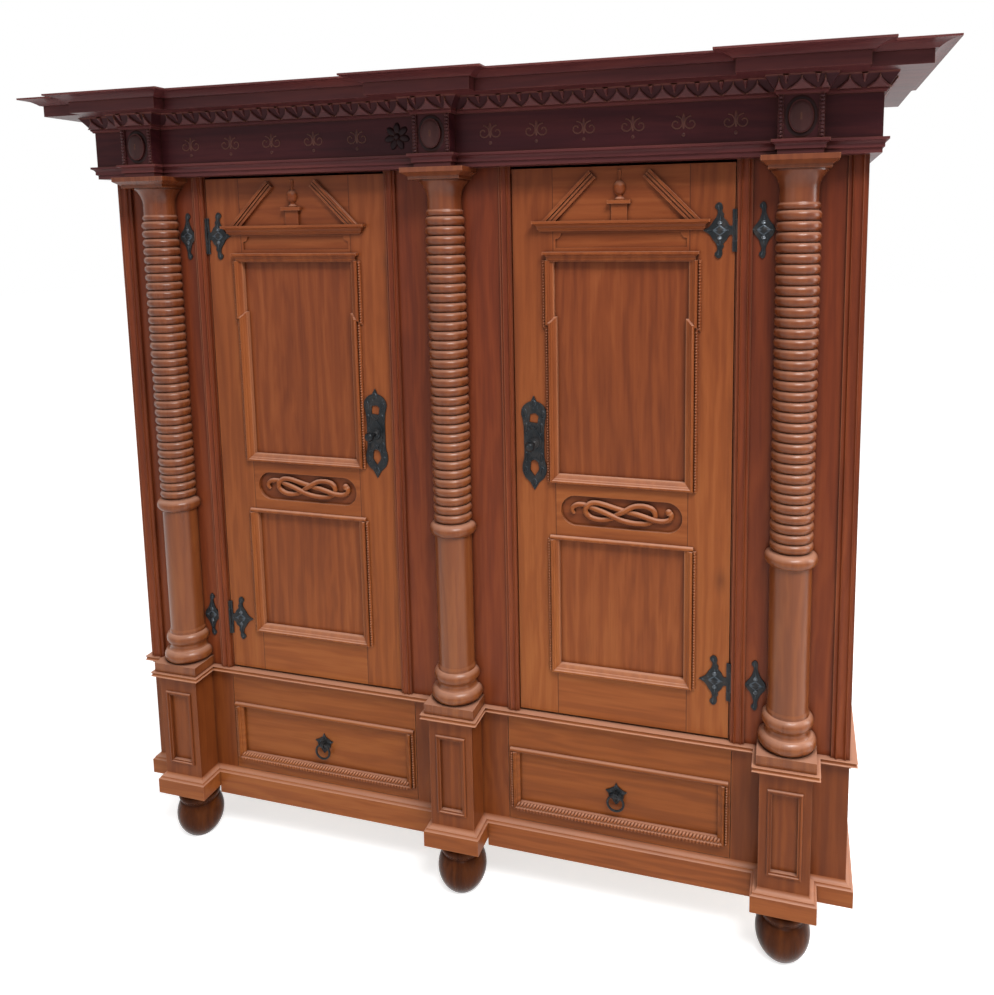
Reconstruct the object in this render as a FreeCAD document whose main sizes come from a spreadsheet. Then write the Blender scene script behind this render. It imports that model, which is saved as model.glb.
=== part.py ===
"""Kas cupboard: a two-door, two-drawer joined cupboard with ring-turned columns.

Millimetres, +Z up, the front faces -Y, origin on the floor under the middle of the cupboard.
Every sub-part is an object of the document whose sizes are bound to the Dimensions sheet.
"""
import FreeCAD, Part
import math
import os
import Sketcher

DOC = FreeCAD.newDocument("KasCupboard")
SHEET = DOC.addObject("Spreadsheet::Sheet", "Dimensions")
PARTS = []
RINGS = 33

DIMENSIONS = (
    # carcass
    ("carcass_depth", 498), ("front_board", 26), ("side_board", 24), ("back_board", 12), ("floor_board", 20),
    ("column_gap", 29.4), ("centre_gap", 66), ("corner_gap", 31), ("lock_strip", 28), ("hinge_strip", 31),
    ("corner_strip", 40), ("strip_rise", 13), ("side_stile", 90),
    # heights from the floor upwards
    ("foot_height", 142), ("base_height", 54), ("die_height", 274), ("ledge_height", 21),
    ("case_height", 1315), ("architrave_height", 30), ("frieze_height", 86), ("band_height", 36),
    ("corona_height", 26), ("crown_height", 16),
    # feet, pedestals and the mouldings that break round them
    ("foot_radius", 60), ("foot_neck_radius", 49), ("die_half", 56), ("die_reach", 71),
    ("base_reach", 16), ("apron_drop", 20), ("ledge_reach", 21), ("die_panel_half", 38),
    ("die_panel_margin", 34), ("die_bead", 10), ("panel_sink", 7),
    # columns
    ("column_axis", 15), ("plinth_height", 25), ("plinth_half", 64), ("shaft_radius", 45),
    ("torus_radius", 62), ("collar_radius", 58), ("collar_level", 444), ("ring_radius", 47),
    ("ring_groove", 39), ("neck_radius", 40), ("bell_radius", 57), ("abacus_height", 26),
    ("abacus_foot_half", 62), ("abacus_reach", 14),
    # entablature
    ("frieze_overhang", 20), ("frieze_step", 48), ("block_half", 44.5), ("block_step", 32),
    ("architrave_reach", 12), ("band_reach", 26), ("corona_reach", 78), ("crown_reach", 118),
    ("oval_half_width", 24), ("oval_half_height", 32), ("oval_rise", 6), ("block_bead", 11),
    # doors
    ("door_width", 500), ("door_thickness", 26), ("door_gap", 2), ("door_sill_gap", 6), ("hinge_gap", 5.6),
    ("door_stile", 95.5), ("door_top_rail", 206), ("lock_rail_low", 938), ("lock_rail_high", 1093),
    ("door_bottom_rail", 127), ("panel_thickness", 17), ("panel_rebate", 9),
    ("moulding_width", 19.5), ("moulding_rise", 12), ("moulding_lip", 1.2), ("bead_width", 7.5),
    ("bead_rise", 3), ("ear", 6), ("ear_drop", 156), ("header_half", 165), ("header_height", 22),
    ("header_reach", 11), ("nosing_height", 10.5), ("nosing_reach", 4), ("tablet_half", 148),
    ("tablet_low", 1622), ("tablet_sink", 4),
    ("pediment_half", 184), ("pediment_drop", 141), ("pediment_height", 23), ("pediment_reach", 15),
    ("pediment_core", 6), ("pediment_headroom", 9), ("rake_width", 31), ("rake_rise", 6),
    ("finial_radius", 14), ("knot_half", 142), ("knot_radius", 36.5), ("knot_level", 1009), ("knot_sink", 9),
    ("strand_radius", 5),
    # drawers
    ("drawer_inner_margin", 69), ("drawer_outer_margin", 65), ("drawer_front", 22), ("drawer_wall", 12),
    ("drawer_depth", 420), ("drawer_box_height", 190), ("drawer_play", 1.5), ("drawer_slack", 9.5),
    ("drawer_base", 8), ("drawer_frame_low", 34), ("drawer_frame_height", 149), ("drawer_frame_inset", 5),
    ("drawer_moulding", 16), ("drawer_field_sink", 6),
    # ironwork
    ("iron", 2.5), ("pin_radius", 2.5), ("pin_proud", 4), ("barrel", 15), ("hinge_high", 1657),
    ("hinge_low", 635), ("plate_offset", 32), ("plate_play", 1), ("lock_level", 1166),
    ("lock_inset", 45), ("spindle_radius", 5), ("knob_radius", 10), ("knob_reach", 42), ("cam_length", 62),
    ("cam_width", 14), ("cam_thickness", 4), ("pull_level", 308), ("ring_reach", 19.5), ("ring_wire", 2.8),
    ("ring_stand", 9), ("eye_radius", 7), ("eye_width", 7), ("eye_bore", 3.8),
    # inside
    ("partition_board", 20), ("shelf_board", 18), ("shelf_level", 1240), ("shelf_setback", 30),
    ("rail_level", 1700), ("rail_radius", 14), ("top_board", 20), ("running_gap", 0.3),
)


class Size:
    """A length that carries both its number and the sheet expression it comes from."""

    def __init__(self, value, text):
        self.value = float(value)
        self.text = text

    def __add__(self, other):
        return Size(self.value + num(other), f"({self.text} + {text(other)})")

    def __radd__(self, other):
        return Size(num(other) + self.value, f"({text(other)} + {self.text})")

    def __sub__(self, other):
        return Size(self.value - num(other), f"({self.text} - {text(other)})")

    def __rsub__(self, other):
        return Size(num(other) - self.value, f"({text(other)} - {self.text})")

    def __mul__(self, other):
        return Size(self.value * num(other), f"({self.text} * {text(other)})")

    __rmul__ = __mul__

    def __truediv__(self, other):
        return Size(self.value / num(other), f"({self.text} / {text(other)})")

    def __neg__(self):
        return Size(-self.value, f"(0 - {self.text})")


def num(size):
    return size.value if isinstance(size, Size) else float(size)


def text(size):
    return size.text if isinstance(size, Size) else repr(float(size))


def write_sheet():
    """Fill the sheet and return its cells as sizes by name."""
    cells = {}
    for row, (alias, value) in enumerate(DIMENSIONS, start=1):
        SHEET.set(f"A{row}", alias)
        SHEET.set(f"B{row}", str(value))
        SHEET.setAlias(f"B{row}", alias)
        cells[alias] = Size(value, f"Dimensions.{alias}")
    DOC.recompute()
    return cells


class Namespace:
    """The sizes of the sheet as attributes."""

    def __init__(self, cells):
        self.__dict__.update(cells)


D = Namespace(write_sheet())

# Planes and levels worked out from the driving dimensions.
BLOCK_REACH = D.frieze_step + D.block_step + D.crown_reach
FRONT = (BLOCK_REACH - D.carcass_depth) / 2
BACK = FRONT + D.carcass_depth
Z_BASE = D.foot_height
Z_DIE = Z_BASE + D.base_height
Z_LEDGE = Z_DIE + D.die_height
Z_CASE = Z_LEDGE + D.ledge_height
Z_ARCHITRAVE = Z_CASE + D.case_height
Z_FRIEZE = Z_ARCHITRAVE + D.architrave_height
Z_BAND = Z_FRIEZE + D.frieze_height
Z_CORONA = Z_BAND + D.band_height
Z_CROWN = Z_CORONA + D.corona_height

# Across the front, from the middle outwards: centre column, stile, door, stile, column, corner.
CENTRE_STILE = D.plinth_half + D.centre_gap + D.lock_strip
LOCK_EDGE = CENTRE_STILE + D.door_gap
HINGE_EDGE = LOCK_EDGE + D.door_width
STILE_EDGE = HINGE_EDGE + D.door_gap
STRIP_EDGE = HINGE_EDGE + D.hinge_gap
COLUMN_X = STRIP_EDGE + D.hinge_strip + D.column_gap + D.plinth_half
SIDE = COLUMN_X + D.plinth_half + D.corner_gap + D.corner_strip
COLUMNS = (("left", -COLUMN_X), ("centre", COLUMN_X * 0), ("right", COLUMN_X))
SIDES = (("left", -1), ("right", 1))
FRIEZE_SIDE = SIDE + D.frieze_overhang
FRIEZE_FACE = FRONT - D.frieze_step
PIN_X = HINGE_EDGE + D.hinge_gap / 2
PIN_Y = FRONT - D.pin_proud
DOOR_CENTRE = (LOCK_EDGE + HINGE_EDGE) / 2
DOOR_LOW = Z_CASE + D.door_sill_gap
DOOR_HIGH = Z_ARCHITRAVE - D.door_sill_gap
PANEL_FACE = FRONT + D.door_thickness - D.panel_thickness
MOULDING_LAP = D.moulding_width - D.moulding_lip - D.running_gap
DRAWER_OUTER = COLUMN_X - D.die_half - D.drawer_outer_margin
DRAWER_INNER = D.die_half + D.drawer_inner_margin
DRAWER_CENTRE = (DRAWER_OUTER + DRAWER_INNER) / 2
DRAWER_HALF = (DRAWER_OUTER - DRAWER_INNER) / 2
FRAME_PLATE_HALF = (D.column_gap + D.plinth_half - D.ring_radius - D.plate_play) / 2
FRAME_PLATE_X = STRIP_EDGE + D.hinge_strip + FRAME_PLATE_HALF


# ---------------------------------------------------------------- building blocks

def place(part, x=0, y=0, z=0):
    """Bind an object's placement to sizes."""
    for axis, size in zip("xyz", (x, y, z)):
        if isinstance(size, Size):
            part.setExpression(f"Placement.Base.{axis}", size.text)
        elif size:
            part.setExpression(f"Placement.Base.{axis}", text(size))


def board(name, x, y, z):
    """A plain board between two sizes along each axis."""
    box = DOC.addObject("Part::Box", name)
    box.Label = name
    for prop, (low, high) in zip(("Length", "Width", "Height"), (x, y, z)):
        box.setExpression(prop, text(high - low))
    place(box, x[0], y[0], z[0])
    PARTS.append(box)
    return box


def mirrored(side, low, high):
    """A span along X on the right half, or its mirror image on the left half."""
    return (low, high) if side > 0 else (-high, -low)


def new_body(name, x=0, y=0, z=0):
    body = DOC.addObject("PartDesign::Body", name)
    body.Label = name
    place(body, x, y, z)
    PARTS.append(body)
    return body


def gather(name, bodies):
    """One node made of several pieces that are fixed to the same part."""
    group = DOC.addObject("Part::Compound", name)
    group.Label = name
    group.Links = bodies
    for body in bodies:
        PARTS.remove(body)
    PARTS.append(group)


def new_sketch(body, role, name, lift=0):
    plane = next(f for f in body.Origin.OriginFeatures if f.Role == role)
    sketch = body.newObject("Sketcher::SketchObject", f"{body.Name}_{name}")
    sketch.AttachmentSupport = [(plane, "")]
    sketch.MapMode = "FlatFace"
    if isinstance(lift, Size):
        sketch.setExpression("AttachmentOffset.Base.z", lift.text)
    elif lift:
        sketch.AttachmentOffset = FreeCAD.Placement(FreeCAD.Vector(0, 0, lift), FreeCAD.Rotation())
    return sketch


def arc_geometry(start, end, radius):
    """The shorter arc between two points; a positive radius turns left, a negative one right."""
    dx, dy = end[0] - start[0], end[1] - start[1]
    chord = math.hypot(dx, dy)
    size = abs(radius)
    height = math.sqrt(max(size * size - chord * chord / 4, 0))
    turn = 1 if radius > 0 else -1
    centre = FreeCAD.Vector((start[0] + end[0]) / 2 - turn * dy / chord * height,
                            (start[1] + end[1]) / 2 + turn * dx / chord * height, 0)
    first, last = (start, end) if turn > 0 else (end, start)
    angles = [math.atan2(p[1] - centre.y, p[0] - centre.x) for p in (first, last)]
    if angles[1] < angles[0]:
        angles[1] += 2 * math.pi
    circle = Part.Circle(centre, FreeCAD.Vector(0, 0, 1), size)
    return Part.ArcOfCircle(circle, angles[0], angles[1]), (1, 2) if turn > 0 else (2, 1)


def draw(sketch, points, closed=True):
    """Draw an outline of (u, v) or (u, v, radius of the arc that arrives) and pin each corner."""
    numbers = [(num(p[0]), num(p[1])) for p in points]
    count = len(points) if closed else len(points) - 1
    ends = []
    for index in range(count):
        after = (index + 1) % len(points)
        radius = points[after][2] if len(points[after]) > 2 else None
        if radius is None:
            line = Part.LineSegment(FreeCAD.Vector(*numbers[index], 0), FreeCAD.Vector(*numbers[after], 0))
            ends.append((sketch.addGeometry(line), 1, 2, None))
        else:
            arc, (first, last) = arc_geometry(numbers[index], numbers[after], num(radius))
            ends.append((sketch.addGeometry(arc), first, last, radius))
    for index, (edge, first, last, radius) in enumerate(ends):
        if index + 1 < count or closed:
            nxt = ends[(index + 1) % count]
            sketch.addConstraint(Sketcher.Constraint("Coincident", edge, last, nxt[0], nxt[1]))
        pin(sketch, edge, first, points[index])
        if radius is not None:
            size = radius if num(radius) > 0 else 0 - radius
            add_size(sketch, Sketcher.Constraint("Radius", edge, num(size)), size)
    if not closed:
        pin(sketch, ends[-1][0], ends[-1][2], points[-1])


def pin(sketch, edge, end, point):
    """Fix one end of an edge at a point measured from the sketch's origin."""
    for kind, size in (("DistanceX", point[0]), ("DistanceY", point[1])):
        add_size(sketch, Sketcher.Constraint(kind, -1, 1, edge, end, num(size)), size)


def add_size(sketch, constraint, size):
    index = sketch.addConstraint(constraint)
    if isinstance(size, Size):
        sketch.setExpression(f"Constraints[{index}]", size.text)


def rectangle(u, v):
    return [(u[0], v[0]), (u[1], v[0]), (u[1], v[1]), (u[0], v[1])]


def square(half):
    return rectangle((-half, half), (-half, half))


def loft(body, name, low_outline, low, high_outline, high):
    """A sloping block between two outlines at two heights."""
    feature = body.newObject("PartDesign::AdditiveLoft", f"{body.Name}_{name}")
    sketches = []
    for outline, level, end in ((low_outline, low, "low"), (high_outline, high, "high")):
        sketch = new_sketch(body, "XY_Plane", f"{name}_{end}", level)
        draw(sketch, outline)
        sketches.append(sketch)
    feature.Profile = sketches[0]
    feature.Sections = [sketches[1]]
    feature.Ruled = True


def pad(body, role, name, points, low, high):
    """Pad an outline between two levels along the plane's normal."""
    sketch = new_sketch(body, role, name, low)
    draw(sketch, points)
    feature = body.newObject("PartDesign::Pad", f"{body.Name}_{name}_pad")
    feature.Profile = sketch
    feature.setExpression("Length", text(high - low))
    return feature


def pocket(body, role, name, points, level, depth, onward=False):
    """Cut an outline from a level down into the solid; onward cuts along the plane's normal."""
    sketch = new_sketch(body, role, name, level)
    draw(sketch, points)
    feature = body.newObject("PartDesign::Pocket", f"{body.Name}_{name}_pocket")
    feature.Profile = sketch
    feature.setExpression("Length", text(depth))
    feature.Reversed = onward
    return feature


def turned(body, name, profile, depth=0):
    """Revolve a profile of (radius, height) points about a vertical axis, the body's own Z by default."""
    sketch = new_sketch(body, "XZ_Plane", name, -depth)
    draw(sketch, profile)
    feature = body.newObject("PartDesign::Revolution", f"{body.Name}_{name}_turning")
    feature.Profile = sketch
    feature.ReferenceAxis = (sketch, ["V_Axis"])
    feature.Angle = 360
    return feature


def circle(sketch, u, v, radius):
    """A circle pinned at its centre."""
    shape = Part.Circle(FreeCAD.Vector(num(u), num(v), 0), FreeCAD.Vector(0, 0, 1), num(radius))
    edge = sketch.addGeometry(shape)
    pin(sketch, edge, 3, (u, v))
    add_size(sketch, Sketcher.Constraint("Radius", edge, num(radius)), radius)


def disc(body, role, name, u, v, radius, low, high):
    """A round pad between two levels along the plane's normal."""
    sketch = new_sketch(body, role, name, low)
    circle(sketch, u, v, radius)
    feature = body.newObject("PartDesign::Pad", f"{body.Name}_{name}_pad")
    feature.Profile = sketch
    feature.setExpression("Length", text(high - low))


def bore(body, role, name, u, v, radius, level, depth):
    """A round hole cut from a level down against the plane's normal."""
    sketch = new_sketch(body, role, name, level)
    circle(sketch, u, v, radius)
    feature = body.newObject("PartDesign::Pocket", f"{body.Name}_{name}_pocket")
    feature.Profile = sketch
    feature.setExpression("Length", text(depth))


def swept(body, name, path_role, path, path_lift, closed, profile_role, profile, profile_lift):
    """Run a moulding profile along a path of straight runs, mitred at the corners."""
    spine = new_sketch(body, path_role, f"{name}_run", path_lift)
    draw(spine, path, closed)
    section = new_sketch(body, profile_role, f"{name}_section", profile_lift)
    draw(section, profile)
    feature = body.newObject("PartDesign::AdditivePipe", f"{body.Name}_{name}_moulding")
    feature.Profile = section
    count = len(path) if closed else len(path) - 1
    feature.Spine = (spine, [f"Edge{index + 1}" for index in range(count)])
    feature.Transition = "Right corner"
    return feature


def broken_outline(side, face, half, step, reach=0, back=None):
    """Outline of the front and both returns, breaking forward at each column, offset by a reach."""
    back = BACK if back is None else back
    left, right = -side - reach, side + reach
    points = [(left, back), (left, face - reach)]
    for _, centre in COLUMNS:
        for x, y in ((centre - half - reach, face - reach), (centre - half - reach, face - step - reach),
                     (centre + half + reach, face - step - reach), (centre + half + reach, face - reach)):
            points.append((x, y))
    return points + [(right, face - reach), (right, back)]


def broken_moulding(name, side, face, half, step, level, profile):
    """A moulding run round front and sides; its profile is (reach, height) above a level."""
    body = new_body(name)
    section = [(-side - p[0], level + p[1], *p[2:]) for p in profile]
    swept(body, "front", "XY_Plane", broken_outline(side, face, half, step), level, False,
          "XZ_Plane", section, -BACK)
    return body


def framing(body, name, outline, face, profile, start_x, start_z):
    """A mitred moulding on a face parallel to the front, along a closed outline in X and Z.

    The profile is (inward from the outline, out of the face), at the run that starts the outline.
    """
    section = [(face - p[1], start_z + p[0], *p[2:]) for p in profile]
    swept(body, name, "XZ_Plane", outline, -face, True, "YZ_Plane", section, start_x)


# ---------------------------------------------------------------- base

def make_feet():
    """Five turned bun feet with a necked collar under the base."""
    bun = D.foot_radius
    neck = D.foot_neck_radius
    high = D.foot_height
    profile = [(0, high), (0, 0), (bun * 0.57, 0), (neck + 3, high - 46, bun * 1.28), (neck, high - 43),
               (neck, high - 39), (neck, high - 21, neck * 0.21), (neck - 2, high - 19), (neck - 2, high)]
    rear = BACK - bun - 20
    for row, y, columns in (("front", FRONT - D.column_axis, COLUMNS), ("rear", rear, COLUMNS[::2])):
        for where, x in columns:
            body = new_body(f"foot_{row}_{where}", x, y)
            turned(body, "bun", profile)


def make_base():
    reach = D.base_reach
    high = D.base_height
    inner = -D.floor_board
    profile = [(inner, 0), (reach, 0), (reach, high - 14), (reach - 5, high - 8, reach * 0.5),
               (reach - 8, high - 8), (0, high, reach * 0.75), (inner, high)]
    body = broken_moulding("base_plinth", SIDE, FRONT, D.die_half, D.die_reach, Z_BASE, profile)
    start = D.die_half + reach
    for where, side in SIDES:
        apron = rectangle(mirrored(side, start, COLUMN_X - start), (FRONT - reach, FRONT))
        pad(body, "XY_Plane", f"apron_{where}", apron, Z_BASE - D.apron_drop, Z_BASE)
    body = new_body("base_floor")
    outline = broken_outline(SIDE, FRONT, D.die_half, D.die_reach, inner, BACK - D.back_board)
    pad(body, "XY_Plane", "floor", outline, Z_DIE - D.floor_board, Z_DIE)
    half = D.die_half - D.floor_board
    front = (FRONT - D.die_reach + D.floor_board, FRONT + D.front_board)
    rear_axis = BACK - D.foot_radius - 20
    for where, x in COLUMNS:
        outline = rectangle((x - half, x + half), front)
        pad(body, "XY_Plane", f"front_{where}", outline, Z_BASE, Z_DIE - D.floor_board)
    for where, x in COLUMNS[::2]:
        block = rectangle((x - half, x + half), (rear_axis - half, rear_axis + half))
        pad(body, "XY_Plane", f"rear_{where}", block, Z_BASE, Z_DIE - D.floor_board)


def make_pedestals():
    """Boards beside the drawers, each with a projecting die whose sunk panel has a mitred bead."""
    spans = (DRAWER_OUTER, SIDE)
    boards = {"left": (-spans[1], -spans[0]), "right": spans,
              "centre": (-DRAWER_INNER, DRAWER_INNER)}
    face = FRONT - D.die_reach
    low = Z_DIE + D.die_panel_margin
    high = Z_LEDGE - D.die_panel_margin
    out = D.die_panel_half
    inner = out - D.die_bead
    width = D.die_bead
    for where, x in COLUMNS:
        body = new_body(f"pedestal_{where}", x)
        span = boards[where]
        pad(body, "XY_Plane", "board", rectangle((span[0] - x, span[1] - x), (FRONT, FRONT + D.front_board)),
            Z_DIE, Z_LEDGE)
        pad(body, "XY_Plane", "die", rectangle((-D.die_half, D.die_half), (face, FRONT)), Z_DIE, Z_LEDGE)
        pocket(body, "XZ_Plane", "field", rectangle((-inner, inner), (low + width, high - width)),
               -face, D.panel_sink)
        path = [(0, low), (out, low), (out, high), (-out, high), (-out, low)]
        bead = [(0, 0), (0, width * 0.3), (width * 0.5, width * 0.5, -width * 0.4),
                (width * 0.6, width * 0.2), (width, width * 0.2), (width, 0)]
        framing(body, "bead", path, face, bead, 0, low)


def make_ledge():
    reach = D.ledge_reach
    high = D.ledge_height
    inner = -D.floor_board
    profile = [(inner, 0), (3, 0), (reach * 0.57, high * 0.43, reach * 0.5), (reach * 0.57, high * 0.52),
               (reach * 0.8, high * 0.52), (reach * 0.8, high, high * 0.26), (inner, high)]
    broken_moulding("ledge_moulding", SIDE, FRONT, D.die_half, D.die_reach, Z_LEDGE, profile)
    body = new_body("cupboard_floor")
    outline = broken_outline(SIDE, FRONT, D.die_half, D.die_reach, inner, BACK - D.back_board)
    pad(body, "XY_Plane", "floor", outline, Z_LEDGE, Z_CASE)


# ---------------------------------------------------------------- carcass

def strip(body, name, edge, width, side):
    """Two beads and a hollow moulded along the front of a stile, growing from an edge to one side."""
    rise = D.strip_rise
    across = width * side
    points = [(edge, FRONT), (edge + across, FRONT), (edge + across, FRONT - rise * 0.55),
              (edge + across * 0.8, FRONT - rise * 0.6, side * width * 0.13),
              (edge + across * 0.75, FRONT - rise * 0.85),
              (edge + across * 0.25, FRONT - rise * 0.85, side * width * 0.31),
              (edge + across * 0.2, FRONT - rise * 0.6),
              (edge, FRONT - rise * 0.55, side * width * 0.13)]
    pad(body, "XY_Plane", name, points, Z_CASE, Z_ARCHITRAVE)


def make_stiles():
    """Boards beside the doors with the moulded strips that the doors close against."""
    depth = (FRONT, FRONT + D.front_board)
    half = CENTRE_STILE
    body = new_body("stile_centre")
    pad(body, "XY_Plane", "board", rectangle((-half, half), depth), Z_CASE, Z_ARCHITRAVE)
    for where, side in SIDES:
        strip(body, f"lock_{where}", half * side, D.lock_strip, -side)
    for where, side in SIDES:
        body = new_body(f"stile_{where}")
        span = mirrored(side, STILE_EDGE, SIDE)
        pad(body, "XY_Plane", "board", rectangle(span, depth), Z_CASE, Z_ARCHITRAVE)
        strip(body, "hinge", STRIP_EDGE * side, D.hinge_strip, side)
        strip(body, "corner", SIDE * side, D.corner_strip, -side)


def make_sides():
    """Side boards of both cases with sunk fields framed by a bead."""
    start = FRONT + D.front_board
    margin = D.side_stile
    middle = (Z_CASE + Z_ARCHITRAVE) / 2
    zones = {"lower_side": ((Z_DIE, Z_LEDGE), ((Z_DIE + margin / 2, Z_LEDGE - margin / 2),)),
             "side": ((Z_CASE, Z_CROWN - D.top_board),
                      ((Z_CASE + margin, middle - margin / 2), (middle + margin / 2, Z_ARCHITRAVE - margin)))}
    for zone, (height, fields) in zones.items():
        for where, side in SIDES:
            body = new_body(f"{zone}_{where}")
            outer = SIDE * side
            inner = (SIDE - D.side_board) * side
            low, high = (inner, outer) if side > 0 else (outer, inner)
            pad(body, "XY_Plane", "board", rectangle((low, high), (start, BACK)), *height)
            for index, (bottom, top) in enumerate(fields):
                field = rectangle((start + margin, BACK - margin), (bottom, top))
                pocket(body, "YZ_Plane", f"field{index}", field, outer, D.panel_sink, side < 0)


def make_inside():
    behind = FRONT + D.front_board
    back = BACK - D.back_board
    wall = SIDE - D.side_board
    under = Z_CROWN - D.top_board
    board("back_panel", (-wall, wall), (back, BACK), (Z_BASE, under))
    half = D.partition_board / 2
    board("centre_partition", (-half, half), (behind, back), (Z_CASE, under))
    shelf = (D.shelf_level, D.shelf_level + D.shelf_board)
    board("shelf", (-wall, -half), (behind + D.shelf_setback, back), shelf)
    rail = DOC.addObject("Part::Cylinder", "hanging_rail")
    rail.Label = "hanging_rail"
    rail.setExpression("Radius", D.rail_radius.text)
    rail.setExpression("Height", (wall - half).text)
    rail.Placement = FreeCAD.Placement(FreeCAD.Vector(), FreeCAD.Rotation(FreeCAD.Vector(0, 1, 0), 90))
    place(rail, half, (behind + back) / 2, D.rail_level)
    PARTS.append(rail)


# ---------------------------------------------------------------- columns

def column_profile():
    """Base mouldings, plain shaft, collar, the stack of rings, neck and bell, as (radius, height)."""
    low = Z_CASE + D.plinth_height
    shaft = D.shaft_radius
    collar = Z_CASE + D.collar_level
    rings = collar + 33
    astragal = Z_ARCHITRAVE - 109
    pitch = (astragal - rings) / RINGS
    bell = Z_ARCHITRAVE - D.abacus_height
    points = [(0, low), (shaft + 11, low), (shaft + 11, low + 30, D.torus_radius * 0.3),
              (shaft + 6, low + 32), (shaft + 4, low + 47, -D.torus_radius * 0.24), (shaft + 5, low + 49),
              (shaft + 5, low + 76, D.torus_radius * 0.28), (shaft + 2, low + 78), (shaft + 2, low + 84),
              (shaft, low + 90), (shaft, collar), (shaft + 1, collar + 30, D.collar_radius * 0.27),
              (D.ring_groove, rings)]
    for index in range(RINGS):
        points.append((D.ring_groove, rings + pitch * (index + 1), D.ring_radius * 0.25))
    neck = D.neck_radius
    points += [(neck + 1, astragal + 2), (neck + 1, astragal + 14, D.ring_radius * 0.17),
               (neck, astragal + 16), (neck, astragal + 44), (D.bell_radius, bell - 4, -D.bell_radius * 0.9),
               (D.bell_radius, bell), (0, bell)]
    return points


def make_columns():
    """Three-quarter columns: turned shaft between a square plinth and a moulded abacus."""
    profile = column_profile()
    abacus = Z_ARCHITRAVE - D.abacus_height
    foot = D.abacus_foot_half
    reach = D.abacus_reach
    high = D.abacus_height
    for where, x in COLUMNS:
        body = new_body(f"column_{where}", x, FRONT - D.column_axis)
        turned(body, "shaft", profile)
        half = D.plinth_half
        pad(body, "XY_Plane", "plinth", square(half), Z_CASE, Z_CASE + D.plinth_height)
        neck = abacus + high * 0.25
        cap = abacus + high * 0.6
        pad(body, "XY_Plane", "abacus_foot", square(foot), abacus, neck)
        loft(body, "abacus_slope", square(foot), neck, square(foot + reach), cap)
        pad(body, "XY_Plane", "abacus_cap", square(foot + reach), cap, Z_ARCHITRAVE)
        wide = foot * 2
        cut = rectangle((-wide, wide), (D.column_axis, wide))
        pocket(body, "XY_Plane", "back", cut, Z_ARCHITRAVE + 1, D.case_height + 2)


# ---------------------------------------------------------------- entablature

def make_entablature():
    inner = -D.frieze_overhang
    run = (FRIEZE_SIDE, FRIEZE_FACE, D.block_half, D.block_step)
    reach = D.architrave_reach
    high = D.architrave_height
    profile = [(inner, 0), (0, 0), (0, high * 0.3), (reach * 0.35, high * 0.36), (reach * 0.35, high * 0.6),
               (reach, high * 0.83, reach * 0.9), (reach, high), (inner, high)]
    body = broken_moulding("architrave", *run, Z_ARCHITRAVE, profile)
    lintel = broken_outline(*run, inner, FRONT + D.front_board)
    pad(body, "XY_Plane", "lintel", lintel, Z_ARCHITRAVE, Z_FRIEZE)
    for where, side in SIDES:
        span = mirrored(side, D.partition_board / 2, SIDE - D.side_board)
        stop = rectangle(span, (FRONT + D.front_board, FRONT + D.front_board * 2))
        pad(body, "XY_Plane", f"stop_rail_{where}", stop, Z_ARCHITRAVE, Z_FRIEZE)

    high = D.frieze_height
    body = broken_moulding("frieze", *run, Z_FRIEZE, [(inner, 0), (0, 0), (0, high), (inner, high)])
    face = FRIEZE_FACE - D.block_step
    level = Z_FRIEZE + high / 2
    for where, x in COLUMNS:
        frieze_block(body, where, x, face, level)

    low = D.band_height * 0.28
    reach = D.band_reach
    profile = [(inner, 0), (reach * 0.15, 0), (reach * 0.3, low * 0.5, reach * 0.2), (reach * 0.3, low),
               (reach, D.band_height), (inner, D.band_height)]
    broken_moulding("carved_band", *run, Z_BAND, profile)

    fascia = D.corona_reach
    reach = D.crown_reach
    drop = D.corona_height
    high = D.corona_height + D.crown_height
    profile = [(inner, 0), (fascia, 0), (fascia, drop), (fascia + 6, drop), (fascia + 10, drop + 3),
               (reach - 4, high - 4, reach * 0.4), (reach, high - 4), (reach, high), (fascia, high),
               (inner, drop)]
    broken_moulding("cornice", *run, Z_CORONA, profile)
    body = new_body("top_board")
    outline = broken_outline(*run, inner, BACK)
    pad(body, "XY_Plane", "board", outline, Z_CROWN - D.top_board, Z_CROWN)


def frieze_block(body, where, x, face, level):
    """A raised oval between two beaded strips on the front of a block."""
    tall = D.oval_half_height
    wide = D.oval_half_width
    corner_x, corner_z = wide * 0.78, tall * 0.62
    flank = (corner_z * corner_z + wide * wide * 0.22 * 0.22) / (wide * 0.22 * 2)
    crest = (corner_x * corner_x + tall * tall * 0.38 * 0.38) / (tall * 0.38 * 2)
    oval = [(x - corner_x, level - corner_z, flank), (x + corner_x, level - corner_z, crest),
            (x + corner_x, level + corner_z, flank), (x - corner_x, level + corner_z, crest)]
    pad(body, "XZ_Plane", f"oval_{where}", oval, -face, -face + D.oval_rise)
    edge = D.block_half
    width = D.block_bead
    for hand, side in SIDES:
        out = x + edge * side
        span = (out - width, out) if side > 0 else (out, out + width)
        pad(body, "XZ_Plane", f"strip_{where}_{hand}",
            rectangle(span, (level - D.frieze_height / 2, level + D.frieze_height / 2)), -face, -face + 4)


# ---------------------------------------------------------------- doors

def flip(points, side):
    """The outline of the right-hand piece, or its mirror image."""
    if side > 0:
        return points
    return [(-p[0], p[1], *[-r for r in p[2:]]) for p in points]


def door_openings():
    """The two panel openings of a door, as half width, bottom and top."""
    half = D.door_width / 2 - D.door_stile
    return (("lower", half - D.ear, DOOR_LOW + D.door_bottom_rail, D.lock_rail_low),
            ("upper", half, D.lock_rail_high, DOOR_HIGH - D.door_top_rail))


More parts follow.
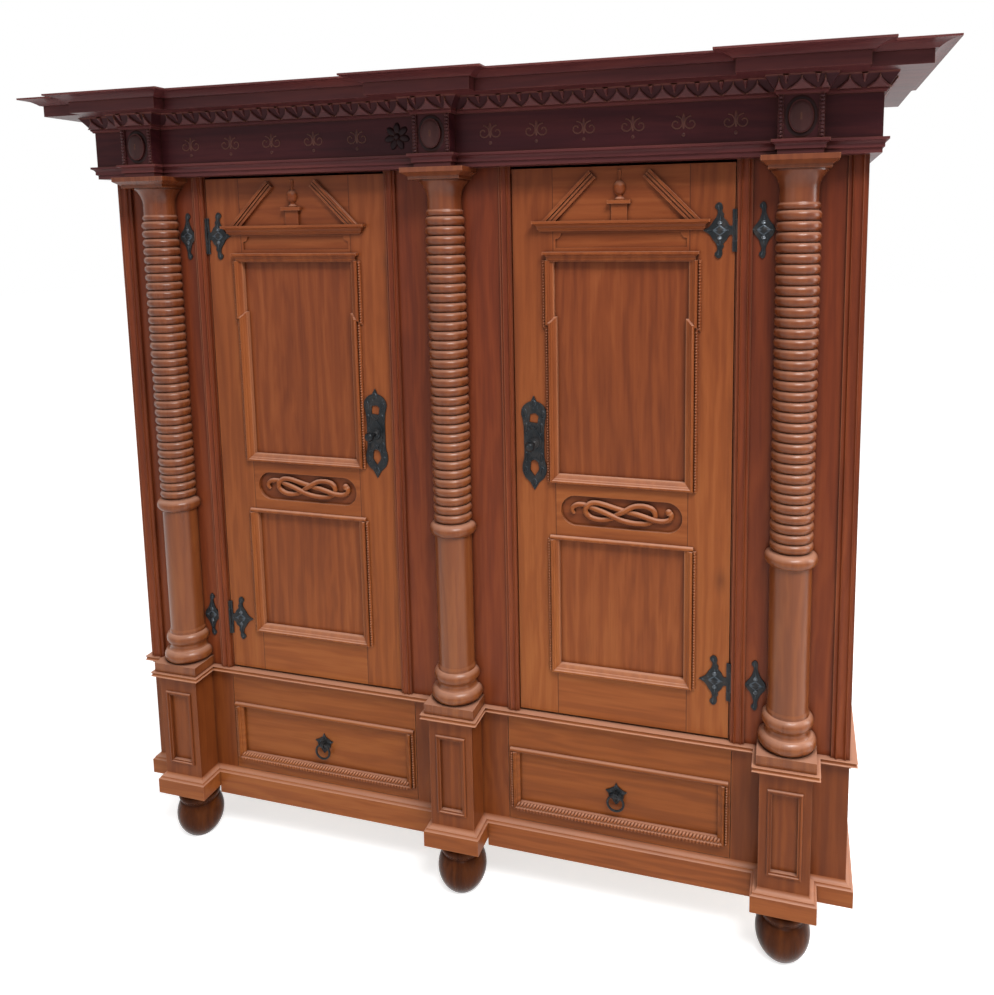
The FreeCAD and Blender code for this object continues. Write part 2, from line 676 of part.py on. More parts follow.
def make_door(where, side):
    centre = DOOR_CENTRE * side
    half = D.door_width / 2
    body = new_body(f"door_frame_{where}", centre)
    pad(body, "XZ_Plane", "board", rectangle((-half, half), (DOOR_LOW, DOOR_HIGH)),
        -FRONT - D.door_thickness, -FRONT)
    back = -FRONT - D.door_thickness
    rebate = D.panel_rebate
    for zone, wide, low, high in door_openings():
        pocket(body, "XZ_Plane", f"opening_{zone}", rectangle((-wide, wide), (low, high)),
               -FRONT, D.door_thickness + 1)
        pocket(body, "XZ_Plane", f"rebate_{zone}",
               rectangle((-wide - rebate, wide + rebate), (low - rebate, high + rebate)),
               back, D.panel_thickness, True)
    knot_recess(body)
    tablet(body)
    lock = (D.lock_inset - half) * side
    bore(body, "XZ_Plane", "spindle_hole", lock, D.lock_level, D.spindle_radius + D.running_gap, -FRONT + 1,
         D.door_thickness + 2)
    for zone, wide, low, high in door_openings():
        make_panel(f"door_panel_{zone}_{where}", centre, wide, low, high)
    make_mouldings(where, centre)
    make_pediment(where, centre)
    make_knot(where, centre)


def knot_recess(body):
    """The round-ended hollow that the carved knot lies in."""
    tall = D.knot_radius
    end = D.knot_half - tall * 0.9
    bow = tall * 1.005
    points = [(-end, D.knot_level - tall, bow), (end, D.knot_level - tall),
              (end, D.knot_level + tall, bow), (-end, D.knot_level + tall)]
    pocket(body, "XZ_Plane", "knot_recess", points, -FRONT, D.knot_sink)


def tablet(body):
    """The shallow field with hollowed upper corners between the header and the pediment."""
    low = D.tablet_low
    top = DOOR_HIGH - D.pediment_drop - 4
    wide = D.tablet_half
    bite = (top - low) * 0.4
    points = [(-wide, low), (wide, low), (wide, top - bite), (wide - bite, top, -bite),
              (bite - wide, top), (-wide, top - bite, -bite)]
    pocket(body, "XZ_Plane", "tablet", points, -FRONT, D.tablet_sink)


def make_panel(name, centre, wide, low, high):
    """A flat panel held in the rebate."""
    body = new_body(name, centre)
    back = -FRONT - D.door_thickness
    lip = D.panel_rebate - D.running_gap
    pad(body, "XZ_Plane", "board", rectangle((-wide - lip, wide + lip), (low - lip, high + lip)),
        back, back + D.panel_thickness)


def sloped(width, rise):
    """Panel moulding from its outer edge inwards: a round, a step and a long slope."""
    return [(0, 0), (0, rise * 0.7), (rise * 0.3, rise, -rise * 0.3), (width * 0.3, rise),
            (width * 0.36, rise * 0.78), (width * 0.55, rise * 0.6), (width * 0.58, rise * 0.45),
            (width, rise * 0.1), (width, 0)]


def lipped(width, rise, lip, sink):
    """The same moulding with a lip that reaches down to a sunk panel."""
    return sloped(width, rise)[:-1] + [(width, -sink), (width - lip, -sink), (width - lip, 0)]


def three_sided(body, name, path, face, profile):
    """A mitred moulding on a face parallel to the front, along an open path that starts downwards
    at its right-hand end; the profile is (inward from the path, out of the face)."""
    start_x, start_z = path[0]
    section = [(start_x - p[0], face - p[1], *p[2:]) for p in profile]
    swept(body, name, "XZ_Plane", path, -face, False, "XY_Plane", section, start_z)


def both_ways(right):
    """An open path down the right side and back up the left one."""
    return right + [(-p[0], p[1]) for p in reversed(right)]


def bead_runs(body, right, face):
    """Round beads along the outer edge of both upright runs."""
    width = D.bead_width
    rise = D.bead_rise
    profile = [(0, 0), (0, rise), (width, rise, -width * 0.52), (width, 0)]
    start_x, start_z = right[0]
    for hand, side in SIDES:
        section = [((start_x - p[0]) * side, face - p[1], *[r * side for r in p[2:]]) for p in profile]
        path = [(p[0] * side, p[1]) for p in right]
        swept(body, f"bead_{hand}", "XZ_Plane", path, -face, False, "XY_Plane", section, start_z)


def nosing(body, name, half, low, face):
    """A half-round bar along the top of a panel moulding."""
    high = low + D.nosing_height
    lip = face - D.nosing_reach
    profile = [(face, low), (face, high), (lip, high), (lip, low, D.nosing_height * 0.52)]
    pad(body, "YZ_Plane", name, profile, -half, half)


def level_cornice(body, name, half, core, low, high, reach):
    """A level moulding that returns to the face at both ends."""
    pad(body, "XY_Plane", f"{name}_core", rectangle((-half, half), (FRONT - core, FRONT)), low, low + high)
    path = [(-half, FRONT), (-half, FRONT - core), (half, FRONT - core), (half, FRONT)]
    section = [(1 - half, low), (-half, low), (-half - reach * 0.3, low + high * 0.2, reach * 0.5),
               (-half - reach * 0.3, low + high * 0.35), (-half - reach * 0.8, low + high * 0.7, reach * 0.7),
               (-half - reach, low + high * 0.75), (-half - reach, low + high), (1 - half, low + high)]
    swept(body, name, "XY_Plane", path, low, False, "XZ_Plane", section, -FRONT)


def make_mouldings(where, centre):
    """Mouldings round both panels; the upper one steps out into ears below its header."""
    bead = D.bead_width
    profile = lipped(D.moulding_width, D.moulding_rise, D.moulding_lip, PANEL_FACE - FRONT - D.running_gap)
    _, wide, low, high = door_openings()[0]
    lower = new_body(f"lower_moulding_{where}", centre)
    out = wide + MOULDING_LAP
    bottom = low - MOULDING_LAP
    top = high - 1
    three_sided(lower, "frame", both_ways([(out, top), (out, bottom)]), FRONT, profile)
    bead_runs(lower, [(out + bead, top), (out + bead, bottom)], FRONT)
    nosing(lower, "nosing", out + 1, high - 2, FRONT)

    body = new_body(f"upper_moulding_{where}", centre)
    _, wide, low, high = door_openings()[1]
    ear = wide + MOULDING_LAP
    out = ear - D.ear
    bottom = low - MOULDING_LAP
    drop = high - D.ear_drop
    right = [(ear, high), (ear, drop + bead), (out, drop + bead), (out, bottom)]
    three_sided(body, "frame", both_ways(right), FRONT, profile)
    right = [(ear + bead, high), (ear + bead, drop), (out + bead, drop), (out + bead, bottom)]
    bead_runs(body, right, FRONT)
    level_cornice(body, "header", D.header_half, D.pediment_core, high - 3, D.header_height, D.header_reach)
    gather(f"panel_mouldings_{where}", [lower, body])


def rake_strip(out, near, far, foot, top):
    """Outline of a strip of the right-hand rake, between two distances from its upper edge."""
    run = top - foot
    return [(out - near, foot), (out - run - near / 2, top - near / 2),
            (out - run - far / 2, top - far / 2), (out - far, foot)]


def make_pediment(where, centre):
    """Broken pediment: level moulding with returns, two ribbed rakes and a split turning."""
    body = new_body(f"pediment_{where}", centre)
    half = D.pediment_half
    low = DOOR_HIGH - D.pediment_drop
    high = D.pediment_height
    level_cornice(body, "level", half, D.pediment_core, low, high, D.pediment_reach)

    foot = low + high - 2
    top = DOOR_HIGH - D.pediment_headroom
    width = D.rake_width
    rise = D.rake_rise
    ribs = (("rake", width * 0, width, rise), ("outer_rib", width * 0, width * 0.3, rise + 5),
            ("middle_rib", width * 0.42, width * 0.6, rise + 3), ("inner_rib", width * 0.78, width, rise + 3))
    for name, near, far, proud in ribs:
        outline = rake_strip(half - 5, near, far, foot, top)
        for hand, side in SIDES:
            pad(body, "XZ_Plane", f"{name}_{hand}", flip(outline, side), -FRONT, -FRONT + proud)

    size = D.finial_radius
    base = low + high
    pad(body, "XZ_Plane", "finial_foot", rectangle((size * -1.25, size * 1.25), (foot, base + 36)),
        -FRONT, -FRONT + 8)
    pad(body, "XZ_Plane", "finial_cap", rectangle((size * -1.85, size * 1.85), (base + 36, base + 44)),
        -FRONT, -FRONT + 14)
    profile = [(0, base + 43), (size * 0.8, base + 43), (size * 0.8, base + 47), (size * 0.45, base + 51),
               (size * 0.45, base + 55), (size * 0.4, base + 86, size * 1.36), (size * 0.25, base + 92),
               (size * 0.35, top), (0, top)]
    turning = turned(body, "finial", profile, FRONT)
    turning.Angle = 180
    turning.Reversed = True


# Runs of the carved rope, as (x, z, radius of the arc that arrives), from its hooked left end to its curled
# right end; each run stands at its own height so that the crossings pass over and under.
ROPE = (
    (8, ((-112, -6), (-99, 14, -16), (-62, 8, -60), (25, -20, 150), (62, -18, 90), (80, 2, 20))),
    (7, ((80, 2), (45, 22, 34), (4, 4, 75), (-53, -18, -95), (-83, 2, -26))),
    (9, ((-83, 2), (-57, 22, -26), (-2, 8, -95), (92, -10, 400), (117, 8, 20))),
)


def headings(start, end):
    """Directions of an arc at both of its ends, in radians; the end carries its radius."""
    dx, dz = end[0] - start[0], end[1] - start[1]
    chord = math.atan2(dz, dx)
    bend = math.asin(math.hypot(dx, dz) / 2 / end[2])
    return chord - bend, chord + bend


def ribbon(run, half):
    """Outline of a strip of even width along a run of arcs."""
    turns = [headings(*pair) for pair in zip(run, run[1:])]
    arriving = [turns[0][0]] + [turn[1] for turn in turns]
    leaving = [turn[0] for turn in turns] + [turns[-1][1]]
    left, right = [], []
    for point, before, after in zip(run, arriving, leaving):
        along = math.atan2(math.sin(before) + math.sin(after), math.cos(before) + math.cos(after))
        across = along + math.pi / 2
        shift = (half * math.cos(across), half * math.sin(across))
        left.append((point[0] + shift[0], point[1] + shift[1]))
        right.append((point[0] - shift[0], point[1] - shift[1]))
    bends = [point[2] for point in run[1:]]
    outline = left[:1] + [(*p, bend - half) for p, bend in zip(left[1:], bends)] + right[-1:]
    return outline + [(*p, -bend - half) for p, bend in zip(reversed(right[:-1]), reversed(bends))]


def make_knot(where, centre):
    """A rope carved in relief that loops twice through itself and ends in a hook and a curl."""
    body = new_body(f"knot_{where}", centre)
    scale = D.knot_half / 142
    strand = num(D.strand_radius)
    floor = -FRONT - D.knot_sink
    for layer, half, step in (("wide", strand, 2), ("crown", strand * 0.6, 0)):
        for index, (high, run) in enumerate(ROPE):
            points = [(p[0] * scale, D.knot_level + p[1] * scale, *[r * scale for r in p[2:]])
                      for p in ribbon(run, half)]
            crown = floor + D.knot_sink * ((high - step) / 9)
            pad(body, "XZ_Plane", f"{layer}_{index}", points, floor, crown)
        disc(body, "XZ_Plane", f"{layer}_curl", scale * 114, D.knot_level + scale * 10, scale * (half + 3),
             floor, floor + D.knot_sink * ((9 - step) / 9))


# ---------------------------------------------------------------- ironwork

STAR = ((-35, 0), (-20, 9), (-14, 20), (-6, 30), (-4, 42), (-10, 52), (-1, 58), (5, 50), (4, 40), (6, 30),
        (14, 20), (20, 9))


def hinge_plate(name, x, level, side, spine):
    """A star-shaped strap plate on the front face, with two screw heads."""
    body = new_body(name, x, 0, level)
    upper = list(STAR)
    if not spine:
        scale = FRAME_PLATE_HALF / -STAR[0][0]
        upper = [(scale * p[0], p[1]) for p in STAR] + [(FRAME_PLATE_HALF, 0)]
    else:
        upper += [(D.plate_offset - 5, 9), (D.plate_offset - 5, D.barrel * 3), (D.plate_offset, D.barrel * 3)]
    lower = [(p[0], 0 - p[1]) for p in reversed(upper) if not is_zero(p[1])]
    pad(body, "XZ_Plane", "plate", flip(upper + lower, side), -FRONT, -FRONT + D.iron)
    for hand, turn in (("upper", 1), ("lower", -1)):
        disc(body, "XZ_Plane", f"screw_{hand}", 0, 16 * turn, 3.4, -FRONT, -FRONT + D.iron + 1.2)
    return body


def is_zero(size):
    return abs(num(size)) < 1e-9


def make_hinges(where, side):
    """Door leaf with two knuckles, and frame plate with the middle barrel, at both levels."""
    pin_x = PIN_X * side
    leaves = []
    fixed = []
    for zone, level in (("high", D.hinge_high), ("low", D.hinge_low)):
        leaf_x = (HINGE_EDGE - D.plate_offset) * side
        leaf = hinge_plate(f"hinge_leaf_{zone}_{where}", leaf_x, level, side, True)
        local = (PIN_X - HINGE_EDGE + D.plate_offset) * side
        for hand, low in (("upper", D.barrel * 1.5), ("lower", D.barrel * -3)):
            low = low + D.running_gap if hand == "upper" else low
            high = D.barrel * 3 if hand == "upper" else D.barrel * -1.5 - D.running_gap
            lug = sorted_span(local, (D.plate_offset - 5) * side, side)
            pad(leaf, "XY_Plane", f"lug_{hand}", rectangle(lug, (PIN_Y, FRONT)), low, high)
            disc(leaf, "XY_Plane", f"knuckle_{hand}", local, PIN_Y, D.pin_radius, low, high)
        post = new_body(f"hinge_post_{zone}_{where}", pin_x, 0, level)
        lug = sorted_span(0 * D.iron, (STRIP_EDGE - PIN_X) * side, -side)
        reach = D.barrel * 1.5
        pad(post, "XY_Plane", "lug", rectangle(lug, (PIN_Y - 2, PIN_Y + 2)), -reach, reach)
        disc(post, "XY_Plane", "barrel", 0, PIN_Y, D.pin_radius, -reach, reach)
        plate = hinge_plate(f"hinge_plate_{zone}_{where}", FRAME_PLATE_X * side, level, side, False)
        leaves.append(leaf)
        fixed += [post, plate]
    gather(f"door_hinges_{where}", leaves)
    gather(f"frame_hinges_{where}", fixed)


def sorted_span(a, b, side):
    return (b, a) if side > 0 else (a, b)


LOCK_OUTLINE = ((0, 112), (6, 100), (12, 97), (24, 88), (30, 74), (26, 54), (24, 30), (24, -34), (29, -62),
                (22, -82), (10, -94), (6, -102), (0, -112))


def make_lock_plate(where, side):
    """Pointed, pierced plate with a raised boss round the spindle."""
    body = new_body(f"lock_plate_{where}", (LOCK_EDGE + D.lock_inset) * side, 0, D.lock_level)
    outline = list(LOCK_OUTLINE) + [(-p[0], p[1]) for p in reversed(LOCK_OUTLINE[1:-1])]
    pad(body, "XZ_Plane", "plate", outline, -FRONT, -FRONT + D.iron)
    pad(body, "XZ_Plane", "boss", [(0, -40), (17, -14), (17, 14), (0, 40), (-17, 14), (-17, -14)],
        -FRONT, -FRONT + D.iron + 3)
    window = [(-11, 50), (9, 48), (12, 66), (4, 72), (-9, 70)]
    pocket(body, "XZ_Plane", "upper_window", window, -FRONT + D.iron + 1, D.iron + 2)
    window = [(-8, -40), (8, -40), (12, -62), (0, -80), (-11, -64)]
    pocket(body, "XZ_Plane", "lower_window", window, -FRONT + D.iron + 1, D.iron + 2)
    hole = D.spindle_radius + D.running_gap
    bore(body, "XZ_Plane", "spindle_hole", 0, 0, hole, -FRONT + D.iron + 4, D.iron + 6)


def make_knob(where, side):
    """Turning knob whose cam swings behind the centre stile."""
    level = D.lock_level
    back = FRONT + D.door_thickness + D.running_gap
    body = new_body(f"knob_{where}", (LOCK_EDGE + D.lock_inset) * side, back, level)
    body.Placement = FreeCAD.Placement(body.Placement.Base, FreeCAD.Rotation(FreeCAD.Vector(1, 0, 0), 90))
    spindle = D.spindle_radius
    grip = D.knob_radius
    seat = D.door_thickness + D.iron + 3 + D.running_gap * 2
    tip = seat + D.knob_reach
    profile = [(0, 0), (spindle, 0), (spindle, seat), (grip * 0.9, seat), (grip * 0.9, seat + 3),
               (spindle, seat + 6), (spindle, tip - grip * 1.9), (grip * 0.3, tip, grip * 0.98),
               (0, tip)]
    turned(body, "knob", profile)
    half = D.cam_width / 2
    pad(body, "XY_Plane", "cam", rectangle((-half, half), (-half, D.cam_length)), -D.cam_thickness, 0)


PULL_OUTLINE = ((0, 26), (4, 18), (10, 13), (16, 9), (25, 6), (18, -2), (17, -10), (10, -14), (5, -22),
                (0, -27))


def make_pull(where, side):
    """Pull plate with an eye, and the loose ring that hangs through the eye."""
    x = DRAWER_CENTRE * side
    body = new_body(f"pull_plate_{where}", x, 0, D.pull_level)
    outline = list(PULL_OUTLINE) + [(-p[0], p[1]) for p in reversed(PULL_OUTLINE[1:-1])]
    face = -FRONT - D.drawer_field_sink
    pad(body, "XZ_Plane", "plate", outline, face, face + D.iron)
    half = D.eye_width / 2
    axis = -face - D.iron - D.ring_stand
    eye = rectangle((axis, -face), (0 - D.eye_radius * 0.7, D.eye_radius * 0.7))
    pad(body, "YZ_Plane", "arm", eye, -half, half)
    disc(body, "YZ_Plane", "eye", axis, 0, D.eye_radius, -half, half)
    bore(body, "YZ_Plane", "bore", axis, 0, D.eye_bore, half + 1, D.eye_width + 2)
    ring = DOC.addObject("Part::Torus", f"pull_ring_{where}")
    ring.Label = ring.Name
    ring.setExpression("Radius1", D.ring_reach.text)
    ring.setExpression("Radius2", D.ring_wire.text)
    ring.Placement = FreeCAD.Placement(FreeCAD.Vector(), FreeCAD.Rotation(FreeCAD.Vector(1, 0, 0), 90))
    place(ring, x, axis, D.pull_level - D.ring_reach)
    PARTS.append(ring)


# ---------------------------------------------------------------- drawers

def make_drawer(where, side):
    """Moulded front and the dovetailed box behind it, running on the base floor."""
    x = DRAWER_CENTRE * side
    half = DRAWER_HALF - D.drawer_play
    low = Z_DIE + D.drawer_play
    high = Z_LEDGE - D.drawer_play
    front = new_body(f"drawer_front_{where}", x)
    pad(front, "XZ_Plane", "board", rectangle((-half, half), (low, high)), -FRONT - D.drawer_front, -FRONT)
    frame_low = Z_DIE + D.drawer_frame_low
    frame_high = frame_low + D.drawer_frame_height
    width = D.drawer_moulding
    bead = D.bead_width
    out = half - D.drawer_frame_inset - bead
    field = rectangle((width - out, out - width), (frame_low + width, frame_high))
    pocket(front, "XZ_Plane", "field", field, -FRONT, D.drawer_field_sink)
    right = [(out, frame_high + 1), (out, frame_low)]
    three_sided(front, "frame", both_ways(right), FRONT, sloped(width, D.moulding_rise))
    bead_runs(front, [(out + bead, frame_high + 1), (out + bead, frame_low)], FRONT)
    nosing(front, "nosing", out + bead, frame_high, FRONT)

    box = new_body(f"drawer_box_{where}", x)
    wide = half - D.drawer_slack
    start = FRONT + D.drawer_front
    floor = Z_DIE + D.running_gap
    pad(box, "XY_Plane", "walls", rectangle((-wide, wide), (start, start + D.drawer_depth)),
        floor, floor + D.drawer_box_height)
    wall = D.drawer_wall
    inside = rectangle((wall - wide, wide - wall),
                       (start + wall, start + D.drawer_depth - wall))
    pocket(box, "XY_Plane", "inside", inside, floor + D.drawer_box_height, D.drawer_box_height - D.drawer_base)


# ---------------------------------------------------------------- output

def check(part):
    """Stop with the part's name if its solid is missing or broken."""
    if part.Shape.isNull() or not part.Shape.isValid() or part.Shape.Volume <= 0:
        raise RuntimeError(f"{part.Label} has no sound solid")


def main():
    make_feet()
    make_base()
    make_pedestals()
    make_ledge()
    make_stiles()
    make_sides()
    make_inside()
    make_columns()
    make_entablature()
    for where, side in SIDES:
        make_door(where, side)
        make_hinges(where, side)
        make_lock_plate(where, side)
        make_knob(where, side)
        make_drawer(where, side)
        make_pull(where, side)
    DOC.recompute()
    broken = [obj.Name for obj in DOC.Objects if {"Invalid", "Error"} & set(obj.State)]
    if broken:
        raise RuntimeError(f"these features failed: {broken}")
    os.makedirs("parts", exist_ok=True)
    for part in PARTS:
        check(part)
        part.Shape.exportStep(f"parts/{part.Label}.step")


main()
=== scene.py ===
"""Kas cupboard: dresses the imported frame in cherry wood, carving and blackened iron.

The frame is loaded first, so that sizes can be taken from its pieces.
Units are metres, +Z is up, the doors face -Y and +X is to the right of someone facing them.
"""
import math
from contextlib import contextmanager

import bmesh
import bpy
from mathutils import Matrix, Vector


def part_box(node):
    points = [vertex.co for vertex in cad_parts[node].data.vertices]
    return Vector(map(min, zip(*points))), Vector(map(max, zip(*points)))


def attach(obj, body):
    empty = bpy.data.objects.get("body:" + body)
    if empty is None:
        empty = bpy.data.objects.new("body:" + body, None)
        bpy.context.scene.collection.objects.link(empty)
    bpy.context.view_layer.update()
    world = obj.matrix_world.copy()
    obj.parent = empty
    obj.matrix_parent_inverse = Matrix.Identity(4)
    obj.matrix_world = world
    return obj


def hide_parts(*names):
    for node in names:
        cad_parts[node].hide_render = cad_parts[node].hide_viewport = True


bl_info = {
    "name": "Kas Cupboard",
    "version": (1, 0, 0),
    "blender": (4, 5, 0),
    "location": "View3D > Sidebar > Kas",
    "description": "Wood, carving and ironwork for a joined kas cupboard",
    "category": "Object",
}

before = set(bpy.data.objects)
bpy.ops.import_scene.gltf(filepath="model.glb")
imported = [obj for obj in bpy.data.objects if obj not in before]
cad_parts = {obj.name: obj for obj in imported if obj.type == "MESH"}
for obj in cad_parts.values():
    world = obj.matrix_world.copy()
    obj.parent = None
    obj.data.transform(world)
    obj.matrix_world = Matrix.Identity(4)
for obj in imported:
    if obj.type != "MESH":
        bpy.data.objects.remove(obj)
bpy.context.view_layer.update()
SIDES = (("left", -1), ("right", 1))
POSTS = ("left", "centre", "right")


def middle(node):
    """Middle of a frame piece's box."""
    low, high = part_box(node)
    return (low + high) / 2


def size(node):
    low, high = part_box(node)
    return high - low


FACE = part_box("door_frame_right")[0].y
DOOR_X = middle("door_frame_right").x
POST_X = middle("column_right").x
POST_PLACES = (-POST_X, 0.0, POST_X)
FRIEZE_LOW, FRIEZE_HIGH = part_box("frieze")
FRIEZE_LEVEL = (FRIEZE_LOW.z + FRIEZE_HIGH.z) / 2
BAND_LOW, BAND_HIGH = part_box("carved_band")

# The blocks over the columns: half their width, and how far they and their ovals stand out.
BLOCK_HALF = 0.0445
BLOCK_STEP = 0.032
OVAL_RISE = 0.006
BLOCK_FACE = FRIEZE_LOW.y + OVAL_RISE
BAY_FACE = BLOCK_FACE + BLOCK_STEP

# The sloping face of the carved band: its foot, and how far it stands out at its foot and its head.
SLOPE_LOW = BAND_LOW.z + 0.01
SLOPE_IN = 0.0078
SLOPE_OUT = 0.026

# ---- settings

class KasSettings(bpy.types.PropertyGroup):
    """Colours and sizes of the finish."""

    light: bpy.props.FloatVectorProperty(
        name="Light cherry", description="Lightest streaks of the wood", subtype="COLOR", size=4,
        default=(0.345, 0.108, 0.03, 1.0), min=0, max=1)
    warm: bpy.props.FloatVectorProperty(
        name="Warm cherry", description="Main colour of the wood", subtype="COLOR", size=4,
        default=(0.26, 0.07, 0.018, 1.0), min=0, max=1)
    deep: bpy.props.FloatVectorProperty(
        name="Deep cherry", description="Dark figure of the wood", subtype="COLOR", size=4,
        default=(0.16, 0.038, 0.011, 1.0), min=0, max=1)
    iron: bpy.props.FloatVectorProperty(
        name="Iron", description="Blackened iron", subtype="COLOR", size=4,
        default=(0.012, 0.014, 0.016, 1.0), min=0, max=1)
    tooth_width: bpy.props.FloatProperty(
        name="Tooth width", description="Foot of each tooth of the carved band", default=0.046, min=0.01,
        max=0.049, unit="LENGTH")
    scroll_radius: bpy.props.FloatProperty(
        name="Scroll radius", description="Size of the scrolls on the frieze", default=0.0155, min=0.005,
        max=0.02, unit="LENGTH")
    ripple_pitch: bpy.props.FloatProperty(
        name="Ripple pitch", description="Step of the ripple beads", default=0.0066, min=0.003, max=0.02,
        unit="LENGTH")
    knot_level: bpy.props.FloatProperty(
        name="Knot level", description="Height of the carved knots", default=1.009, min=0.9, max=1.1,
        unit="LENGTH")
    leaf_x: bpy.props.FloatProperty(
        name="Hinge leaf", description="Middle of the hinge leaf from the middle of the cupboard",
        default=0.628, min=0.5, max=0.7, unit="LENGTH")
    plate_x: bpy.props.FloatProperty(
        name="Hinge plate", description="Middle of the frame's hinge plate from the middle of the cupboard",
        default=0.7193, min=0.6, max=0.8, unit="LENGTH")
    hinge_low: bpy.props.FloatProperty(
        name="Lower hinge", description="Height of the lower hinges", default=0.635, min=0.5, max=1,
        unit="LENGTH")
    hinge_high: bpy.props.FloatProperty(
        name="Upper hinge", description="Height of the upper hinges", default=1.657, min=1, max=1.8,
        unit="LENGTH")
    lens: bpy.props.FloatProperty(
        name="Lens", description="Focal length of the camera in millimetres", default=31.26, min=10, max=200,
        subtype="DISTANCE_CAMERA")


# ---- shader building

class Tree:
    """Short names for building a node tree."""

    def __init__(self, tree):
        self.tree = tree

    def fill(self, node, inputs):
        """Link a node's inputs to sockets or set their plain values; returns its outputs."""
        for name, value in inputs.items():
            if isinstance(value, bpy.types.NodeSocket):
                self.tree.links.new(value, node.inputs[name])
            elif value is not None:
                node.inputs[name].default_value = value
        return node.outputs

    def add(self, kind, inputs=(), **values):
        """Add a node with its values and inputs; returns its outputs."""
        node = self.tree.nodes.new(kind)
        for name, value in values.items():
            setattr(node, name, value)
        return self.fill(node, dict(inputs))

    def math(self, operation, first, second=None, clamp=False):
        return self.add("ShaderNodeMath", {0: first, 1: second}, operation=operation, use_clamp=clamp)[0]

    def times(self, first, second):
        return self.math("MULTIPLY", first, second)

    def mix(self, factor, first, second, blend="MIX"):
        inputs = {"Factor": factor, "A": first, "B": second}
        return self.add("ShaderNodeMix", inputs, data_type="RGBA", blend_type=blend)["Result"]

    def ramp(self, value, low, high, start=0.0, end=1.0):
        """Remap a value from low..high to start..end, clamped."""
        inputs = {"Value": value, "From Min": low, "From Max": high, "To Min": start, "To Max": end}
        return self.add("ShaderNodeMapRange", inputs)["Result"]

    def noise(self, vector, scale, detail=3.0, roughness=0.5, distortion=0.0):
        inputs = {"Vector": vector, "Scale": scale, "Detail": detail, "Roughness": roughness,
                  "Distortion": distortion}
        return self.add("ShaderNodeTexNoise", inputs)["Fac"]

    def stretch(self, vector, scale, rotation=(0, 0, 0), location=(0, 0, 0)):
        inputs = {"Vector": vector, "Scale": scale, "Rotation": rotation, "Location": location}
        return self.add("ShaderNodeMapping", inputs)["Vector"]

    def own_place(self):
        """The object's own coordinates."""
        return self.add("ShaderNodeTexCoord")["Object"]

    def split(self, vector):
        """The X, Y and Z outputs of a vector."""
        return self.add("ShaderNodeSeparateXYZ", {0: vector})

    def occlusion(self, samples, inside, reach):
        """How free a point is of other surfaces within reach; inside, this finds the edges."""
        return self.add("ShaderNodeAmbientOcclusion", {"Distance": reach}, samples=samples, inside=inside,
                        only_local=inside)["AO"]

    def bump(self, height, strength, distance):
        """A normal that follows a height."""
        inputs = {"Strength": strength, "Distance": distance, "Height": height}
        return self.add("ShaderNodeBump", inputs)["Normal"]


KNOT_BROWN = (0.045, 0.014, 0.008, 1)
# The next three: recess stain with painted shade, rubbed edges with a painted highlight, and dust with a
# painted sheen on upward faces.
GRIME_AND_SHADE = (0.035, 0.01, 0.006, 1)
RUBBED_AND_HIGHLIGHT = (0.52, 0.24, 0.13, 1)
DUST_AND_SHEEN_PALE = (0.6, 0.33, 0.23, 1)
JOINT_LINE = (0.03, 0.01, 0.006, 1)
BOARD_LINE = (0.02, 0.01, 0.006, 1)
BLACK_STAIN = (0.012, 0.003, 0.006, 1)
STEEL_GRIME, STEEL_BRIGHT = (0.04, 0.045, 0.05, 1), (0.15, 0.17, 0.19, 1)
# Iron colours: rust, worn spots, and edges lit by a painted highlight with wear.
RUST, WORN_IRON, IRON_EDGE_HIGHLIGHT = (0.035, 0.03, 0.028, 1), (0.07, 0.085, 0.1, 1), (0.085, 0.105, 0.125, 1)

# Painted light and shade: the wood is tinted lighter low down and darker high up; both tints, and the heights
# where they begin.
PAINTED_LIGHT_TINT, PAINTED_SHADE_TINT = (1.1, 1.14, 1.04, 1), (0.8, 0.72, 0.8, 1)
PAINTED_LIGHT_HEIGHTS = (0.5, 1.8)

QUARTER = math.radians(90)
GRAIN_TURN = {"up": (0, 0, 0), "along": (0, QUARTER, 0), "deep": (QUARTER, 0, 0)}

# Lightest streaks, main colour and dark figure of each tone of the wood.
TONES = {
    "panel": ((0.32, 0.096, 0.028), (0.225, 0.057, 0.016), (0.13, 0.03, 0.01)),
    "red": ((0.25, 0.058, 0.017), (0.17, 0.035, 0.011), (0.095, 0.018, 0.007)),
    "brown": ((0.24, 0.062, 0.015), (0.165, 0.039, 0.01), (0.095, 0.021, 0.006)),
    "field": ((0.3, 0.088, 0.021), (0.225, 0.058, 0.013), (0.14, 0.034, 0.009)),
    "turned": ((0.26, 0.08, 0.024), (0.195, 0.053, 0.016), (0.12, 0.03, 0.01)),
    # The dusk and dark tones of the entablature are a darker stain that also holds painted shade.
    "dusk": ((0.165, 0.046, 0.036), (0.11, 0.03, 0.028), (0.058, 0.016, 0.016)),
    "dark": ((0.094, 0.023, 0.021), (0.06, 0.014, 0.016), (0.03, 0.008, 0.01)),
    "medal": ((0.08, 0.03, 0.025), (0.055, 0.02, 0.017), (0.03, 0.01, 0.009)),
    "black": ((0.035, 0.015, 0.016), (0.02, 0.008, 0.009), (0.01, 0.004, 0.005)),
    "foot": ((0.115, 0.03, 0.007), (0.062, 0.015, 0.004), (0.022, 0.006, 0.002)),
    "back": ((0.42, 0.25, 0.13), (0.3, 0.165, 0.08), (0.18, 0.09, 0.04)),
    "inside": ((0.62, 0.42, 0.24), (0.48, 0.29, 0.15), (0.32, 0.17, 0.08)),
}


